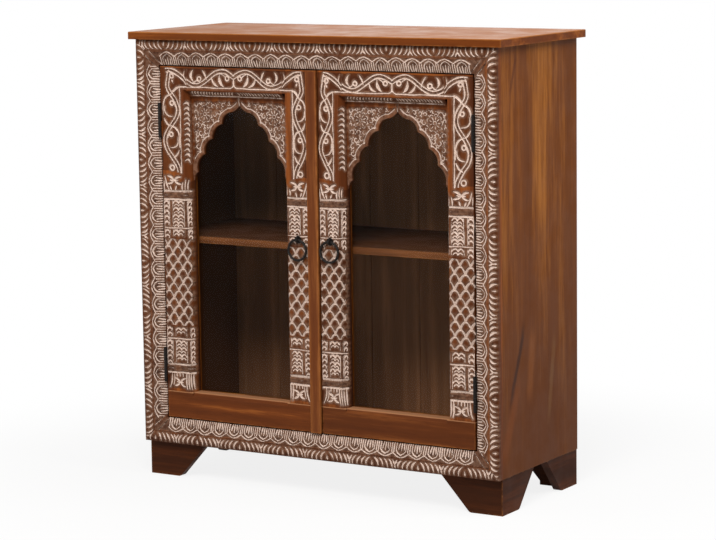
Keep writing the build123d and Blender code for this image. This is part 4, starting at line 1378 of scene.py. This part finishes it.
# %% Glass and plastic
def clear_glass(name):
    """Thin clear glass: it lets light straight through, and its front mirrors a little of what is before
    it, by Fresnel's law. The inside of the pane mirrors nothing, so the light isn't counted twice."""
    paint = Paint(name)
    smear = paint.noise(paint.place(), 9.0, 3.0, 0.6)
    through = paint.node("BsdfTransparent", {"Color": (0.95, 0.955, 0.94, 1)})
    gloss = paint.node("BsdfGlossy", {"Roughness": paint.step(smear, 0.4, 0.7, 0.02, 0.08)})
    mirrored = paint.node("Fresnel", {"IOR": 1.15}).outputs[0]
    outside = paint.math("SUBTRACT", 1.0, paint.node("NewGeometry").outputs["Backfacing"])
    share = paint.times(mirrored, outside)
    return paint.mixture(share, through, gloss)


def brown_plastic(name):
    """Moulded plastic with the fine grain of its mould."""
    paint = Paint(name)
    grain = paint.noise(paint.place(), 1500.0, 2.0, 0.5)
    normal = paint.bump(grain, 0.2, 0.0001)
    body = paint.blend(grain, colour(48, 32, 24), colour(62, 42, 32))
    return paint.surface({"Base Color": body, "Roughness": 0.5, "Normal": normal})


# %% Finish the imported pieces
fittings = {"black_iron": black_iron("iron_fittings", 5), "glass": clear_glass("clear_glass"),
            "catch_plastic": brown_plastic("catch_plastic")}
for seed, (name, node) in enumerate(sorted(nodes.items()), start=100):
    if node.hide_render:
        continue
    slot = slot_of[name]
    if slot in fittings:
        node.data.materials.clear()
        node.data.materials.append(fittings[slot])
    else:
        finish = FINISH_OF_BOARD.get(name, FINISH_OF_SLOT.get(slot, {}))
        eased_board(name, node, plain_wood("stain_" + name, name, long_way(name), seed, **finish))
shown_as_packed = sum(not node.hide_render for node in nodes.values())
print("finishes given;", shown_as_packed, "pieces are shown as packed")

# %% [markdown]
# ## Tongues between the back planks
# The planks stand half a millimetre apart, so that they can swell. A joiner ploughs a groove along
# their edges and lets a loose tongue into it, which keeps light and dust out. Each tongue is a box, and
# the eight corners of all six are found in one sum from one array of corners and one of places.

# %% Loose tongues
PLANKS, TONGUE_WIDTH, TONGUE_THICKNESS, TONGUE_SHORT = 7, 8.0, 3.0, 2.0


def loose_tongues(name):
    """Boxes in the joints of the back planks, at the middle of their thickness."""
    low, high = box_mm("back_planks")
    joints = low[0] + (high[0] - low[0]) * np.arange(1, PLANKS) / PLANKS
    corners = np.array([(x, y, z) for x in (-0.5, 0.5) for y in (-0.5, 0.5) for z in (-0.5, 0.5)])
    size = np.array([TONGUE_WIDTH, TONGUE_THICKNESS, high[2] - low[2] - 2 * TONGUE_SHORT])
    middle = np.column_stack([joints, np.full((PLANKS - 1, 2), (low + high)[1:] / 2)])
    points = (middle[:, None] + corners * size).reshape(-1, 3) / 1000
    sides = np.array([(0, 1, 3, 2), (4, 6, 7, 5), (0, 4, 5, 1), (2, 3, 7, 6), (0, 2, 6, 4), (1, 5, 7, 3)])
    faces = (np.arange(PLANKS - 1)[:, None, None] * 8 + sides).reshape(-1, 4)
    mesh = bpy.data.meshes.new(name)
    mesh.from_pydata(points.tolist(), [], faces.tolist())
    mesh.materials.append(plain_wood("stain_" + name, "back_planks", "Z", 99, **INNER_FINISH))
    tongues = add_object(name, mesh)
    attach(tongues, "cabinet")


loose_tongues("plank_tongues")
print(PLANKS - 1, "tongues let in between the planks")

# %% [markdown]
# ## A plain studio
# One broad lamp stands in front, a second one fills from the left, a third lights the side, and a low
# one behind puts the sheen on the top. A pale world lights the rest. The floor and the world are white
# to the camera and to mirrors, so the background is plain without any more light on the cabinet, and
# the floor still takes its shadow.

# %% Floor
FLOOR_RADIUS, FLOOR_CORNERS = 30.0, 48


def seen_plainly(paint):
    """1 for rays from the camera, off mirrors and through glass, and 0 for light that falls on things."""
    rays = paint.node("LightPath").outputs
    seen = paint.math("MAXIMUM", rays["Is Camera Ray"], rays["Is Glossy Ray"])
    return paint.math("MAXIMUM", seen, rays["Is Transmission Ray"])


def floor_material():
    """Matt and pale under the light, and plain white for the camera, more so further from the cabinet."""
    paint = Paint("pale_floor")
    away = paint.node("VectorMath", {0: paint.place()}, operation="LENGTH").outputs["Value"]
    matt = paint.node("BsdfDiffuse", {"Color": colour(204, 202, 200)})
    white = paint.node("Emission", {"Color": (1, 1, 1, 1), "Strength": 1.0})
    share = paint.times(paint.step(away, 0.5, 1.3, 0.85, 1.0), seen_plainly(paint))
    return paint.mixture(share, matt, white)


angle = np.linspace(0, 2 * np.pi, FLOOR_CORNERS, endpoint=False)
rim = np.column_stack([np.cos(angle), np.sin(angle), np.zeros(FLOOR_CORNERS)]) * FLOOR_RADIUS
floor_mesh = bpy.data.meshes.new("floor")
floor_mesh.from_pydata(rim.tolist(), [], [list(range(FLOOR_CORNERS))])
floor_mesh.materials.append(floor_material())
floor = add_object("floor", floor_mesh)
print("the floor is a disc of", FLOOR_CORNERS, "corners")

# %% Lamps
LAMPS = (("key", (0.9, -2.4, 3.4), (0, 0, 0.6), 1.6, 160),
         ("fill", (-3.4, -3.2, 1.8), (0, 0, 0.6), 3.0, 45),
         ("right", (2.6, 0.1, 3.2), (0.4, 0, 0.9), 1.6, 84),
         ("behind", (-1.7, 3.6, 1.9), (0.3, 0, 0.96), 1.4, 4))


def lamp(name, place, aim, size, power):
    """A square area lamp at place that faces aim."""
    data = bpy.data.lights.new(name, "AREA")
    data.shape = "SQUARE"
    data.size = size
    data.energy = power
    made = add_object(name, data)
    made.location = place
    made.rotation_euler = (Vector(aim) - Vector(place)).to_track_quat("-Z", "Y").to_euler()


for row in LAMPS:
    lamp(*row)
print(len(LAMPS), "lamps hung,", sum(row[-1] for row in LAMPS), "watts in all")

# %% World
WORLD_LIGHT = 0.4


def studio_world():
    """White to the camera and to mirrors, and a weaker pale light on everything else."""
    paint = Paint("studio", "World")
    shown = paint.node("Background", {"Color": (1, 1, 1, 1), "Strength": 1.0})
    lit = paint.node("Background", {"Strength": WORLD_LIGHT})
    return paint.mixture(seen_plainly(paint), lit, shown)


bpy.context.scene.world = studio_world()
print("the world lights the scene at a strength of", WORLD_LIGHT)
